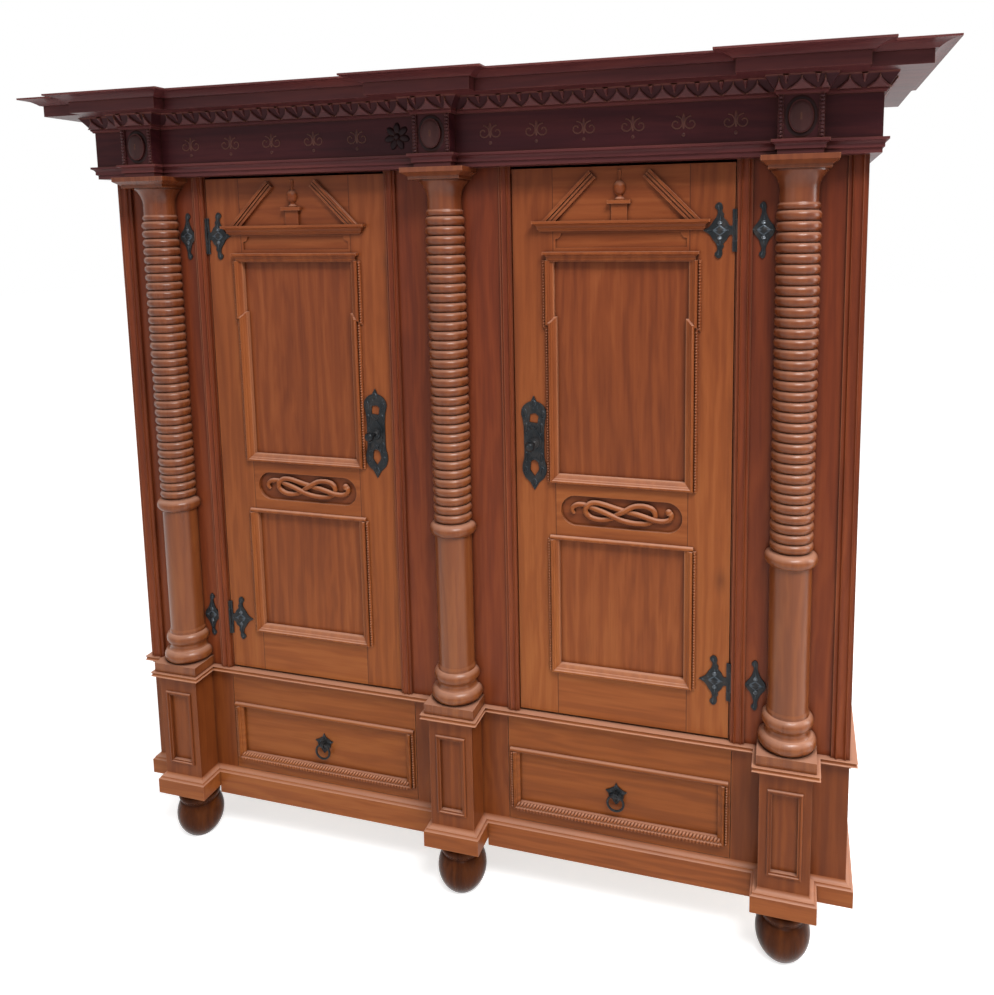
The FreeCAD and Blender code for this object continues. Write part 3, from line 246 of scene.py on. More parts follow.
def new_group(name, inputs, outputs):
    """A shader group with named sockets; returns its tree, its given sockets and its output node."""
    group = bpy.data.node_groups.new(name, "ShaderNodeTree")
    for label, kind, default in inputs:
        socket = group.interface.new_socket(label, in_out="INPUT", socket_type=f"NodeSocket{kind}")
        if default is not None:
            socket.default_value = default
    for label, kind in outputs:
        group.interface.new_socket(label, in_out="OUTPUT", socket_type=f"NodeSocket{kind}")
    tree = Tree(group)
    return tree, tree.add("NodeGroupInput"), group.nodes.new("NodeGroupOutput")


def build_grain():
    """Cherry with growth bands, flame, pores and a few knots; the grain runs along the vector's Z."""
    tree, given, made = new_group(
        "cherry_grain",
        (("Vector", "Vector", None), ("Light", "Color", (0.5, 0.2, 0.07, 1)),
         ("Warm", "Color", (0.35, 0.12, 0.04, 1)), ("Deep", "Color", (0.17, 0.05, 0.02, 1)),
         ("Flame", "Float", 0.5), ("Bands", "Float", 0.5), ("Knots", "Float", 0.4)),
        (("Color", "Color"), ("Height", "Float"), ("Shine", "Float")))
    place = given["Vector"]
    broad = tree.noise(tree.stretch(place, (3.2, 3.2, 0.55)), 1.6, 3.0, 0.55, 0.6)
    wander = tree.noise(tree.stretch(place, (7, 7, 0.9)), 1.4, 4.0, 0.6, 0.3)
    parts = tree.split(place)
    across = tree.math("ADD", parts["X"], tree.times(parts["Y"], 0.7))
    phase = tree.math("ADD", tree.times(across, 150.0), tree.times(wander, 34.0))
    band = tree.ramp(tree.math("SINE", phase), -1.0, 1.0)
    band = tree.times(tree.math("SUBTRACT", band, 0.5), given["Bands"])
    flame = tree.times(tree.math("SUBTRACT", broad, 0.5), given["Flame"])
    streak = tree.noise(tree.stretch(place, (60, 60, 1.6)), 2.0, 3.0, 0.6)
    streak = tree.times(tree.math("SUBTRACT", streak, 0.5), 0.55)
    figure = tree.math("ADD", tree.times(band, 0.55), tree.times(flame, 2.0))
    tone = tree.math("ADD", tree.math("ADD", figure, streak), 0.5, clamp=True)
    color = tree.mix(tree.ramp(tone, 0.0, 0.5), given["Deep"], given["Warm"])
    color = tree.mix(tree.ramp(tone, 0.5, 1.0), color, given["Light"])
    spots = {"Vector": tree.stretch(place, (1, 1, 0.55)), "Scale": 3.1}
    spot = tree.ramp(tree.add("ShaderNodeTexVoronoi", spots, feature="F1")["Distance"], 0.0, 0.075, 1.0, 0.0)
    spot = tree.times(tree.math("POWER", spot, 1.6), given["Knots"])
    color = tree.mix(spot, color, KNOT_BROWN)
    pores = tree.noise(tree.stretch(place, (420, 420, 14)), 1.0, 2.0, 0.7)
    pores = tree.ramp(pores, 0.58, 0.72)
    color = tree.mix(tree.times(pores, 0.28), color, given["Deep"])
    height = tree.math("SUBTRACT", tree.times(tone, 0.3), tree.times(pores, 0.35))
    shine = tree.math("ADD", tree.times(pores, 0.12), tree.times(broad, 0.08))
    tree.fill(made, {"Color": color, "Height": height, "Shine": shine})


def build_wear_and_light():
    """Stain and painted shade gathered in recesses, rubbed edges with a painted highlight, and upper sides
    paled by dust and a painted sheen.
    """
    tree, given, made = new_group(
        "recess_and_edge",
        (("Color", "Color", (1, 1, 1, 1)), ("Reach", "Float", 0.012), ("Dirt", "Float", 0.7),
         ("Rub", "Float", 0.25), ("Dust", "Float", 0.3)),
        (("Color", "Color"), ("Recess", "Float")))
    # Stain with painted shade: darker where other surfaces are near.
    recess = tree.ramp(tree.occlusion(6, False, given["Reach"]), 0.25, 0.85, 1.0, 0.0)
    recess = tree.times(recess, given["Dirt"])
    color = tree.mix(recess, given["Color"], GRIME_AND_SHADE)
    # Rubbed edges with a painted highlight: lighter on the edges.
    rub = tree.ramp(tree.occlusion(4, True, 0.003), 0.45, 0.75, 1.0, 0.0)
    color = tree.mix(tree.times(rub, given["Rub"]), color, RUBBED_AND_HIGHLIGHT)
    # Dust with a painted sheen: paler on faces that look up.
    facing = tree.split(tree.add("ShaderNodeNewGeometry")["Normal"])
    dust = tree.times(tree.ramp(facing["Z"], 0.25, 0.95), given["Dust"])
    dust = tree.times(dust, tree.math("SUBTRACT", 1.0, recess))
    tree.fill(made, {"Color": tree.mix(dust, color, DUST_AND_SHEEN_PALE), "Recess": recess})


def new_material(name):
    """A new material's tree and its Principled shader."""
    material = bpy.data.materials.new(name)
    material.use_nodes = True
    return Tree(material.node_tree), material.node_tree.nodes["Principled BSDF"]


def on_boards(tree, place, width):
    """Coordinates with their own figure on each upright board of a width, and the dark seams between them."""
    parts = tree.split(place)
    count = tree.math("DIVIDE", parts["X"], width)
    number = tree.math("FLOOR", count)
    seam = tree.ramp(tree.math("PINGPONG", count, 0.5), 0.002, 0.007, 0.9, 0.0)
    moved = tree.add("ShaderNodeCombineXYZ", {
        "X": parts["X"], "Y": tree.math("ADD", parts["Y"], tree.times(number, 0.37)),
        "Z": tree.math("ADD", parts["Z"], tree.times(number, 1.9))})
    return moved[0], seam


def wood(name, grain, tone=None, flame=0.5, knots=0.4, dirt=0.7, rub=0.2, rough=0.34, coat=0.03, gleam=0.14,
         dust=0.3, shift=(0, 0, 0), joints=None, stain=None, boards=None):
    """A lacquered wood material whose grain runs up, along the front or into the depth.

    joints is (centre, half width): outside that span, on both mirrored halves, the grain runs up instead.
    stain is (low, high): between those heights the wood is stained nearly black.
    boards is the width of upright boards: each has its own figure, with a dark seam between them.
    """
    settings = bpy.context.scene.kas
    light, warm, deep = settings.light, settings.warm, settings.deep
    if tone:
        light, warm, deep = [(*color, 1) for color in TONES[tone]]
    tree, shader = new_material(name)
    place = tree.own_place()
    sawn, board_seam = on_boards(tree, place, boards) if boards else (place, None)

    def grain_node(direction):
        inputs = {"Vector": tree.stretch(sawn, (1, 1, 1), GRAIN_TURN[direction], shift), "Light": light,
                  "Warm": warm, "Deep": deep, "Flame": flame, "Knots": knots}
        return tree.add("ShaderNodeGroup", inputs, node_tree=bpy.data.node_groups["cherry_grain"])

    face = grain_node(grain)
    color, height, shine = (face[key] for key in ("Color", "Height", "Shine"))
    parts = tree.split(place)
    if joints:
        centre, half = joints
        offset = tree.math("ABSOLUTE", tree.math("SUBTRACT", tree.math("ABSOLUTE", parts["X"]), centre))
        from_joint = tree.math("ABSOLUTE", tree.math("SUBTRACT", offset, half))
        seam = tree.ramp(from_joint, 0.0004, 0.0012, 1.0, 0.0)
        color = tree.mix(tree.math("GREATER_THAN", offset, half), color, grain_node("up")["Color"])
        color = tree.mix(tree.times(seam, 0.75), color, JOINT_LINE)
        height = tree.math("SUBTRACT", height, tree.times(seam, 1.5))
    if boards:
        color = tree.mix(board_seam, color, BOARD_LINE)
    # Painted light and shade: lighter low down and darker high up.
    color = tree.mix(1.0, color, tree.mix(tree.ramp(parts["Z"], *PAINTED_LIGHT_HEIGHTS), PAINTED_LIGHT_TINT, PAINTED_SHADE_TINT), "MULTIPLY")
    if stain:
        low, high = stain
        within = tree.times(tree.math("GREATER_THAN", parts["Z"], low),
                            tree.math("LESS_THAN", parts["Z"], high))
        color = tree.mix(tree.times(within, 0.6), color, BLACK_STAIN)
    # Recesses get stain with painted shade, edges get wear with a painted highlight, and upward faces get
    # dust with a painted sheen.
    wear_and_light = tree.add("ShaderNodeGroup", {"Color": color, "Dirt": dirt, "Rub": rub, "Dust": dust},
                    node_tree=bpy.data.node_groups["recess_and_edge"])
    dull = tree.times(wear_and_light["Recess"], 0.15)
    tree.fill(shader, {
        "Base Color": wear_and_light["Color"], "Roughness": tree.math("ADD", tree.math("ADD", shine, rough), dull),
        "Normal": tree.bump(height, 0.25, 0.0008), "Specular IOR Level": gleam, "Coat Weight": coat,
        "Coat Roughness": 0.22})


def blackened_iron():
    """Hammered, oiled iron with rust blotches, worn spots, and edges made brighter by wear and a painted
    highlight.
    """
    tree, shader = new_material("blackened_iron")
    place = tree.own_place()
    dents = tree.noise(place, 160.0, 3.0, 0.6)
    blotch = tree.noise(place, 45.0, 4.0, 0.6)
    color = tree.mix(tree.ramp(blotch, 0.45, 0.7), tuple(bpy.context.scene.kas.iron), RUST)
    color = tree.mix(tree.ramp(dents, 0.62, 0.8), color, WORN_IRON)
    # Edges brighter by wear and a painted highlight.
    edge = tree.ramp(tree.occlusion(4, True, 0.0016), 0.4, 0.7, 0.75, 0.0)
    tree.fill(shader, {
        "Base Color": tree.mix(edge, color, IRON_EDGE_HIGHLIGHT), "Roughness": tree.ramp(blotch, 0.3, 0.7, 0.28, 0.55),
        "Normal": tree.bump(dents, 0.6, 0.0012), "Metallic": 0.25, "Specular IOR Level": 0.2})


def screw_steel():
    """Worn steel with grime, for screw heads."""
    tree, shader = new_material("screw_steel")
    place = tree.own_place()
    grime = tree.ramp(tree.noise(place, 260.0, 3.0, 0.6), 0.4, 0.65)
    tree.fill(shader, {"Base Color": tree.mix(grime, STEEL_GRIME, STEEL_BRIGHT),
                       "Roughness": tree.ramp(grime, 0.0, 1.0, 0.5, 0.3), "Metallic": 0.6})


def wear_material(obj, name):
    """Give an object one material."""
    obj.data.materials.clear()
    obj.data.materials.append(bpy.data.materials[name])


# ---- modelling

def deselect():
    bpy.ops.object.select_all(action="DESELECT")


def pick(obj, kind, test):
    """Select the faces, edges or vertices of a piece in edit mode that pass a test."""
    bpy.ops.mesh.select_mode(type={"faces": "FACE", "edges": "EDGE", "verts": "VERT"}[kind])
    mesh = bmesh.from_edit_mesh(obj.data)
    for item in mesh.verts[:] + mesh.edges[:] + mesh.faces[:]:
        item.select_set(False)
    for item in getattr(mesh, kind):
        if test(item):
            item.select_set(True)
    bmesh.update_edit_mesh(obj.data)


@contextmanager
def editing(everything=False):
    """Edit mode for the lines inside, with all of the mesh selected or not."""
    bpy.ops.object.mode_set(mode="EDIT")
    if everything:
        bpy.ops.mesh.select_all(action="SELECT")
    yield
    bpy.ops.object.mode_set(mode="OBJECT")


def settle(obj):
    """Put an object's place, turn and scale into its mesh."""
    deselect()
    obj.select_set(True)
    bpy.context.view_layer.objects.active = obj
    bpy.ops.object.transform_apply(location=True, rotation=True, scale=True)
    return obj


def finish(obj, name, material, body, smooth=60):
    """Name a piece, give it its material and set it on its body."""
    settle(obj)
    obj.name = name
    obj.data.name = name
    bpy.ops.object.shade_smooth_by_angle(angle=math.radians(smooth))
    wear_material(obj, material)
    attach(obj, body)


def join(pieces):
    deselect()
    for piece in pieces:
        piece.select_set(True)
    bpy.context.view_layer.objects.active = pieces[0]
    if len(pieces) > 1:
        bpy.ops.object.join()
    return bpy.context.view_layer.objects.active


def strew(template, places):
    """Copies of a piece, each with its own mesh, at each place; joined, and the template goes."""
    copies = []
    for place in places:
        copy = bpy.data.objects.new(template.name, template.data.copy())
        copy.data.transform(place)
        bpy.context.scene.collection.objects.link(copy)
        copies.append(copy)
    bpy.data.objects.remove(template)
    return join(copies)


def at(x, y, z):
    """A place for a piece modelled at the origin."""
    return Matrix.Translation((x, y, z))


def spread(start, end, pitch):
    """Middles of even steps of about a pitch between two ends."""
    count = max(1, round((end - start) / pitch))
    step = (end - start) / count
    return [start + step * (index + 0.5) for index in range(count)]


def ball(radii, place=(0, 0, 0), segments=8, rings=6):
    """A squashed ball with its poles up and down."""
    bpy.ops.mesh.primitive_uv_sphere_add(segments=segments, ring_count=rings, radius=1, location=place,
                                         scale=radii)
    return settle(bpy.context.active_object)


def torus(major, minor, major_segments, minor_segments, place=(0, 0, 0)):
    """A ring that faces the front."""
    bpy.ops.mesh.primitive_torus_add(major_radius=major, minor_radius=minor, major_segments=major_segments,
                                     minor_segments=minor_segments, location=place,
                                     rotation=(QUARTER, 0, 0))
    return settle(bpy.context.active_object)


def new_curve():
    """An empty curve."""
    bpy.ops.curve.primitive_bezier_curve_add()
    curve = bpy.context.active_object
    curve.data.splines.clear()
    return curve


def wire(points, radius, steps=4, sides=2, taper=()):
    """A round rod through points, as a mesh; taper gives the share of the radius at the first points."""
    curve = new_curve()
    curve.data.dimensions = "3D"
    spline = curve.data.splines.new("BEZIER")
    spline.bezier_points.add(len(points) - 1)
    for index, (knot, point) in enumerate(zip(spline.bezier_points, points)):
        knot.co = point
        knot.handle_left_type = knot.handle_right_type = "AUTO"
        if index < len(taper):
            knot.radius = taper[index]
    curve.data.resolution_u = steps
    curve.data.bevel_depth = radius
    curve.data.bevel_resolution = sides
    curve.data.use_fill_caps = True
    bpy.ops.object.convert(target="MESH")
    return settle(bpy.context.active_object)


def plate(outlines, thickness, bevel):
    """A flat plate with a rounded edge, standing out of the front; outlines after the first are windows.

    A point with a third value is a sharp one.
    """
    curve = new_curve()
    curve.data.dimensions = "2D"
    curve.data.fill_mode = "BOTH"
    for outline in outlines:
        spline = curve.data.splines.new("BEZIER")
        spline.bezier_points.add(len(outline) - 1)
        for knot, point in zip(spline.bezier_points, outline):
            knot.co = (point[0], point[1], 0)
            knot.handle_left_type = knot.handle_right_type = "VECTOR" if len(point) > 2 else "AUTO"
        spline.use_cyclic_u = True
    curve.data.resolution_u = 4
    curve.data.extrude = thickness / 2 - bevel
    curve.data.bevel_depth = bevel
    curve.data.bevel_resolution = 1
    curve.data.offset = -bevel
    curve.rotation_euler = (QUARTER, 0, 0)
    bpy.ops.object.convert(target="MESH")
    piece = settle(bpy.context.active_object)
    piece.data.transform(Matrix.Translation((0, -thickness / 2, 0)))
    return piece


# ---- operators

def both(kind):
    """The names of the left and right piece of a kind."""
    return [f"{kind}_{where}" for where, _ in SIDES]


OPENING_HALF = size("door_panel_upper_right").x / 2 - 0.009  # the panels run 9 mm into the door's frame
BOARD_WIDTH = 0.308

# Each wood's name, grain, tone, looks and the pieces of the frame that it is on.
WOODS = (
    ("cherry_door", "along", None, {"joints": (DOOR_X, OPENING_HALF), "knots": 0.5}, both("door_frame")),
    ("cherry_panel", "up", "panel", {"flame": 0.6, "knots": 0.2, "shift": (0.31, 0, 0.2)},
     both("door_panel_upper") + both("door_panel_lower")),
    ("cherry_up", "up", None, {}, both("side")),
    ("cherry_edge", "along", None, {"rub": 0.45, "dust": 0.6}, ["base_plinth", "ledge_moulding"]),
    ("cherry_deep", "deep", None, {"dirt": 0.3}, both("lower_side")),
    ("brown_up", "up", "brown", {"rub": 0.35, "dust": 0.6}, [f"pedestal_{post}" for post in POSTS]),
    ("red_up", "up", "red", {}, [f"stile_{post}" for post in POSTS]),
    ("field_along", "along", "field", {"rub": 0.3, "dust": 0.6}, both("drawer_front")),
    ("moulded_up", "up", None, {"rub": 0.4, "dust": 0.7}, both("panel_mouldings")),
    ("moulded_along", "along", None, {"rub": 0.35, "dust": 0.6}, both("pediment")),
    ("ripple_up", "up", None, {"rub": 0.15, "dust": 0.35}, []),
    ("hollow", "along", "brown", {"rub": 0.0, "dirt": 0.9}, []),
    ("turned_up", "up", "turned",
     {"rub": 0.25, "rough": 0.24, "coat": 0.06, "gleam": 0.26, "dirt": 1.0, "dust": 0.55},
     [f"column_{post}" for post in POSTS]),
    # The entablature's dusk and dark tones hold painted shade as well as a darker stain.
    ("dusk_along", "along", "dusk", {"rub": 0.12, "coat": 0.0, "dust": 0.15}, ["architrave", "cornice"]),
    ("dark_along", "along", "dark", {"rub": 0.12, "rough": 0.36, "coat": 0.0, "gleam": 0.1, "dust": 0.08},
     ["frieze"]),
    ("dark_carving", "along", "dark",
     {"rub": 0.12, "rough": 0.36, "coat": 0.0, "gleam": 0.18, "dust": 0.1}, []),
    ("carving", "along", "dusk", {"coat": 0.0, "gleam": 0.18, "dust": 0.2}, []),
    ("band_ground", "along", "dusk",
     {"rub": 0.1, "rough": 0.4, "coat": 0.0, "gleam": 0.08, "dust": 0.1,
      "stain": (SLOPE_LOW + 0.0005, BAND_HIGH.z - 0.0035)}, ["carved_band"]),
    ("dark_medal", "up", "medal", {"rub": 0.1, "rough": 0.36, "coat": 0.0, "dust": 0.05}, []),
    # Black carving; also the black rings round the medallions, which are a painted shadow.
    ("black_carving", "up", "black", {"rub": 0.03, "coat": 0.0, "gleam": 0.1, "dust": 0.03}, []),
    ("foot_gloss", "up", "foot",
     {"flame": 0.6, "dirt": 1.0, "rub": 0.0, "rough": 0.2, "coat": 0.0, "gleam": 0.07, "dust": 0.0},
     [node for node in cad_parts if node.startswith("foot_")]),
    ("back_boards", "up", "back", {"coat": 0.0, "rough": 0.6, "boards": BOARD_WIDTH}, ["back_panel"]),
    ("inside_plain", "up", "inside", {"coat": 0.0, "rough": 0.55},
     ["base_floor", "cupboard_floor", "centre_partition", "shelf", "hanging_rail", "top_board"]
     + both("drawer_box")),
)


class KAS_OT_wood(bpy.types.Operator):
    """Give every wooden piece of the frame its timber and grain direction"""

    bl_idname = "kas.wood"
    bl_label = "Wood"

    def execute(self, context):
        build_grain()
        build_wear_and_light()
        for name, grain, tone, looks, nodes in WOODS:
            wood(name, grain, tone, **looks)
            for node in nodes:
                wear_material(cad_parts[node], name)
        return {"FINISHED"}


class KAS_OT_iron(bpy.types.Operator):
    """Blackened iron on the hinges, lock plates, knobs and pulls"""

    bl_idname = "kas.iron"
    bl_label = "Iron"

    def execute(self, context):
        blackened_iron()
        screw_steel()
        for kind in ("door_hinges", "frame_hinges", "lock_plate", "knob", "pull_plate", "pull_ring"):
            for node in both(kind):
                wear_material(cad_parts[node], "blackened_iron")
        return {"FINISHED"}


# ---- carving on the entablature

TOOTH_HEIGHT = 0.0285
TOOTH_THICK = 0.0036
TOOTH_STEP = 0.049
TOOTH_EDGE = 0.0018
TOOTH_SWELL = 0.0016
TOOTH_HOLLOW = 0.7  # the smaller, the fuller the sides of a tooth
TRIANGLE_SIDE = 1.732  # of a triangle whose corners are one away from its middle
BLOCK_TEETH = ((-0.0435, 0.4), (0, 1.2), (0.0435, 0.4))
BLOCK_DROPS = (-0.03, 0.03)
DROP_FOOT, DROP_TIP, DROP_LENGTH, DROP_LEVEL = 0.0062, 0.0016, 0.019, 0.0215


def band_runs():
    """Each straight run of the sloping band: its start on the face, direction, way out, teeth and drops.

    A tooth is its place along the run and its share of the full width; a drop is its place.
    """
    edge = BLOCK_HALF + (SLOPE_IN + SLOPE_OUT) / 2
    side_x = FRIEZE_HIGH.x
    corner = side_x + edge - BLOCK_HALF
    right, back = Vector((1, 0, 0)), Vector((0, 1, 0))
    runs = [(Vector((x, BLOCK_FACE, 0)), right, -back, BLOCK_TEETH, BLOCK_DROPS) for x in POST_PLACES]
    depth = BAND_HIGH.y - BAY_FACE
    long_runs = [(Vector((start, BAY_FACE, 0)), right, -back, end - start) for start, end in (
        (-corner, -POST_X - edge), (-POST_X + edge, -edge), (edge, POST_X - edge), (POST_X + edge, corner))]
    long_runs.append((Vector((side_x, BAY_FACE, 0)), back, right, depth))
    long_runs.append((Vector((-side_x, BAND_HIGH.y, 0)), -back, -right, depth))
    for start, along, out, length in long_runs:
        steps = spread(0, length, TOOTH_STEP)
        teeth = [(step, 1) for step in steps]
        runs.append((start, along, out, teeth, [(a + b) / 2 for a, b in zip(steps, steps[1:])]))
    return runs


def slope_place(start, along, out, step, share=1):
    """A place on the band with X along it and Y up its slope."""
    up_slope = (Vector((0, 0, BAND_HIGH.z - SLOPE_LOW)) + out * (SLOPE_OUT - SLOPE_IN)).normalized()
    turn = Matrix((along * share, up_slope, along.cross(up_slope))).transposed().to_4x4()
    foot = start + along * step + out * SLOPE_IN
    foot.z = SLOPE_LOW
    return Matrix.Translation(foot) @ turn


def tooth(width):
    """A pointed tooth with hollow sides and a raised field, its foot at the origin and its point up Y."""
    bpy.ops.mesh.primitive_cylinder_add(
        vertices=3, radius=1, depth=1, location=(0, TOOTH_HEIGHT / 3, TOOTH_THICK / 2),
        scale=(width / TRIANGLE_SIDE, TOOTH_HEIGHT / 1.5, TOOTH_THICK))
    piece = settle(bpy.context.active_object)
    with editing(everything=True):
        bpy.ops.mesh.subdivide(number_cuts=3)
        for share in (0.25, 0.5, 0.75):
            level = share * TOOTH_HEIGHT
            pick(piece, "verts", lambda v: abs(v.co.y - level) < TOOTH_HEIGHT * 0.05)
            bpy.ops.transform.resize(value=((1 - share) ** TOOTH_HOLLOW, 1, 1), center_override=(0, 0, 0))
        pick(piece, "faces", lambda f: f.normal.z > 0.9)
        bpy.ops.mesh.inset(thickness=TOOTH_EDGE)
        bpy.ops.transform.translate(value=(0, 0, TOOTH_SWELL))
    return piece


def drop():
    """A small turned drop, lying along Y."""
    bpy.ops.mesh.primitive_cone_add(vertices=8, radius1=DROP_FOOT, radius2=DROP_TIP, depth=DROP_LENGTH,
                                    location=(0, DROP_LEVEL, 0), rotation=(QUARTER, 0, 0))
    piece = settle(bpy.context.active_object)
    with editing():
        pick(piece, "faces", lambda f: abs(f.normal.y) > 0.9)
        bpy.ops.mesh.inset(thickness=0.0008)
        bpy.ops.mesh.bevel(offset=0.0004)
    return piece


class KAS_OT_band(bpy.types.Operator):
    """Carve the sloping band with hollow-sided teeth and small drops between them"""

    bl_idname = "kas.band"
    bl_label = "Carved band"

    def execute(self, context):
        runs = band_runs()
        deselect()
        places = [slope_place(start, along, out, step, share)
                  for start, along, out, teeth, _ in runs for step, share in teeth]
        finish(strew(tooth(context.scene.kas.tooth_width), places), "band_teeth", "carving", "carcass", 20)
        deselect()
        places = [slope_place(start, along, out, step)
                  for start, along, out, _, drops in runs for step in drops]
        finish(strew(drop(), places), "band_drops", "carving", "carcass")
        return {"FINISHED"}


SCROLL_POINTS = 12
SCROLL_TURNS = 1.2
SCROLL_STEP = 0.108
ROSETTE_X = -0.0985
ROSETTE_GAP = 0.07  # left free beside the middle block for the rosette
PETALS = 7


def spiral(radius, hand):
    """Points of a flat scroll on the front, from its eye outwards."""
    points = []
    for index in range(SCROLL_POINTS + 1):
        share = index / SCROLL_POINTS
        angle = QUARTER + SCROLL_TURNS * 2 * math.pi * (1 - share)
        reach = radius * (0.2 + 0.8 * share)
        points.append((hand * (reach * math.cos(angle) + radius), 0, reach * math.sin(angle)))
    return points


class KAS_OT_frieze(bpy.types.Operator):
    """Scrolls and leaves along both bays of the frieze, and the dark rosette beside the middle block"""

    bl_idname = "kas.frieze"
    bl_label = "Frieze carving"

    def execute(self, context):
        deselect()
        scrolls = [wire(spiral(context.scene.kas.scroll_radius, hand), 0.0015, 3) for _, hand in SIDES]
        leaf = ball((0.0036, 0.0016, 0.017), (0, 0, 0.005))
        berry = ball((0.0038, 0.0016, 0.0042), (0, 0, -0.023))
        motif = join(scrolls + [leaf, berry])
        inner, outer = BLOCK_HALF + 0.03, POST_X - BLOCK_HALF - 0.03
        steps = spread(inner, outer, SCROLL_STEP) + spread(-outer, -inner - ROSETTE_GAP, SCROLL_STEP)
        finish(strew(motif, [at(x, BAY_FACE, FRIEZE_LEVEL) for x in steps]), "frieze_scrolls", "dark_carving",
               "carcass")

        petal = ball((0.0085, 0.0045, 0.0135), (0, 0, 0.0185), 10, 8)
        turns = [Matrix.Rotation(2 * math.pi * index / PETALS, 4, "Y") for index in range(PETALS)]
        flower = join([strew(petal, turns), ball((0.008, 0.0075, 0.008), segments=12, rings=8)])
        finish(strew(flower, [at(ROSETTE_X, BAY_FACE, FRIEZE_LEVEL)]), "frieze_rosette", "black_carving",
               "carcass")
        return {"FINISHED"}


BEAD_X = 0.039
BEAD_STEP = 0.008
OVAL_SHAPE = (0.93, 0.35, 1.2)


class KAS_OT_blocks(bpy.types.Operator):
    """Medallions and beaded strips on the blocks over the columns, and a black ring round each medallion that
    is a painted shadow
    """

    bl_idname = "kas.blocks"
    bl_label = "Blocks"

    def execute(self, context):
        deselect()
        crown = ball((0.0225, 0.0045, 0.0305), segments=24, rings=12)
        boss = ball((0.0025, 0.0062, 0.0085))
        medals = [at(x, BLOCK_FACE - OVAL_RISE + 0.001, FRIEZE_LEVEL) for x in POST_PLACES]
        finish(strew(join([crown, boss]), medals), "block_medals", "dark_medal", "carcass")
        # A black ring round each medallion: a painted shadow of the gap round the oval.
        shadow_ring = torus(0.03, 0.0045, 40, 6)
        with editing(everything=True):
            bpy.ops.transform.resize(value=OVAL_SHAPE)
        rings = [at(x, BLOCK_FACE, FRIEZE_LEVEL) for x in POST_PLACES]
        finish(strew(shadow_ring, rings), "block_rings", "black_carving", "carcass")
        levels = spread(FRIEZE_LOW.z + 0.001, FRIEZE_HIGH.z - 0.001, BEAD_STEP)
        beads = [at(x + BEAD_X * side, BLOCK_FACE - 0.004, z) for x in POST_PLACES for _, side in SIDES
                 for z in levels]
        finish(strew(ball((0.0046, 0.0036, 0.004)), beads), "block_beads", "dark_carving", "carcass")
        return {"FINISHED"}


# ---- doors and drawers

# Each upright bead beside the door's panels: its place from the door's middle, its lower and its upper end.
DOOR_BEADS = ((0.17025, 0.609, 0.935), (0.17025, 1.078, 1.438), (0.17625, 1.44, 1.592))
DRAWER_BEAD_X = 0.26175
DRAWER_BEAD_ENDS = (0.231, 0.378)
SILL_HALF = 0.25
SILL_COARSER = 1.25
SLOPE_OUT_OF_FACE, SLOPE_LEVEL = 0.0058, 0.2412
NOSE_OUT_OF_FACE, NOSE_LEVEL = 0.0108, 0.2322
SLOPE_TWIST = Matrix.Rotation(math.radians(-42), 4, "X") @ Matrix.Rotation(math.radians(28), 4, "Y")


def upright_ridge(pitch):
    """One rib of an upright bead."""
    return ball((0.0044, 0.0086, pitch * 0.46))


class KAS_OT_ripple(bpy.types.Operator):
    """Ripple the beads beside the panels and the drawer fields, and the drawers' sills"""

    bl_idname = "kas.ripple"
    bl_label = "Ripple beads"

    def execute(self, context):
        pitch = context.scene.kas.ripple_pitch
        for where, side in SIDES:
            deselect()
            places = [at(DOOR_X * side + x * hand, FACE, z) for x, low, high in DOOR_BEADS
                      for _, hand in SIDES for z in spread(low, high, pitch)]
            finish(strew(upright_ridge(pitch), places), f"door_ripple_{where}", "ripple_up", f"door_{where}")
            centre = middle(f"drawer_front_{where}").x
            places = [at(centre + DRAWER_BEAD_X * hand, FACE, z) for _, hand in SIDES
                      for z in spread(*DRAWER_BEAD_ENDS, pitch)]
            upright = strew(upright_ridge(pitch), places)
            steps = spread(centre - SILL_HALF, centre + SILL_HALF, pitch * SILL_COARSER)
            slope = strew(ball((0.0036, 0.0034, 0.0068)),
                          [at(x, FACE - SLOPE_OUT_OF_FACE, SLOPE_LEVEL) @ SLOPE_TWIST for x in steps])
            nose = strew(ball((0.0036, 0.0038, 0.0046)),
                         [at(x, FACE - NOSE_OUT_OF_FACE, NOSE_LEVEL) for x in steps])
            finish(join([upright, slope, nose]), f"drawer_ripple_{where}", "moulded_along", f"drawer_{where}")
        return {"FINISHED"}


# Middle line of the carved rope from its hook to its curl, in millimetres: across, up, and out of the hollow.
ROPE = (
    (-111, -8, 4), (-116, 2, 5), (-110, 11, 5), (-98, 15, 4.5), (-82, 13, 2.5), (-63, 8, 5),
    (-37, 0.5, 7.5), (-16, -7.5, 9), (4, -15.5, 6.5), (24, -19.6, 5), (45, -19.8, 5), (64, -17, 4),
    (77, -7, 2.5), (80, 4, 5), (75, 15, 5.5), (63, 21, 5.5), (45, 22.4, 5.5), (28.5, 19, 6.5),
    (8, 7, 9), (-6, -1.5, 5), (-15, -7.5, 2.5), (-24, -13, 4), (-37, -17, 5), (-53, -18, 5),
    (-67, -15.5, 5), (-78, -9, 5.5), (-83.5, 1.5, 7), (-80, 11.5, 9), (-71, 20, 6.5), (-57, 22, 5.5),
    (-39, 19, 5.5), (-20, 14, 5), (-2, 9, 3.5), (10, 6.5, 2.5), (22, 4, 4), (35, 2.4, 6), (55, -2, 8),
    (75, -7, 9), (92, -10, 6.5), (106, -8.5, 5), (115.5, -2, 5), (117, 6, 5.5), (113, 12, 6),
)
ROPE_RADIUS = 0.0062
ROPE_TAPER = (0.6, 0.8, 0.9)

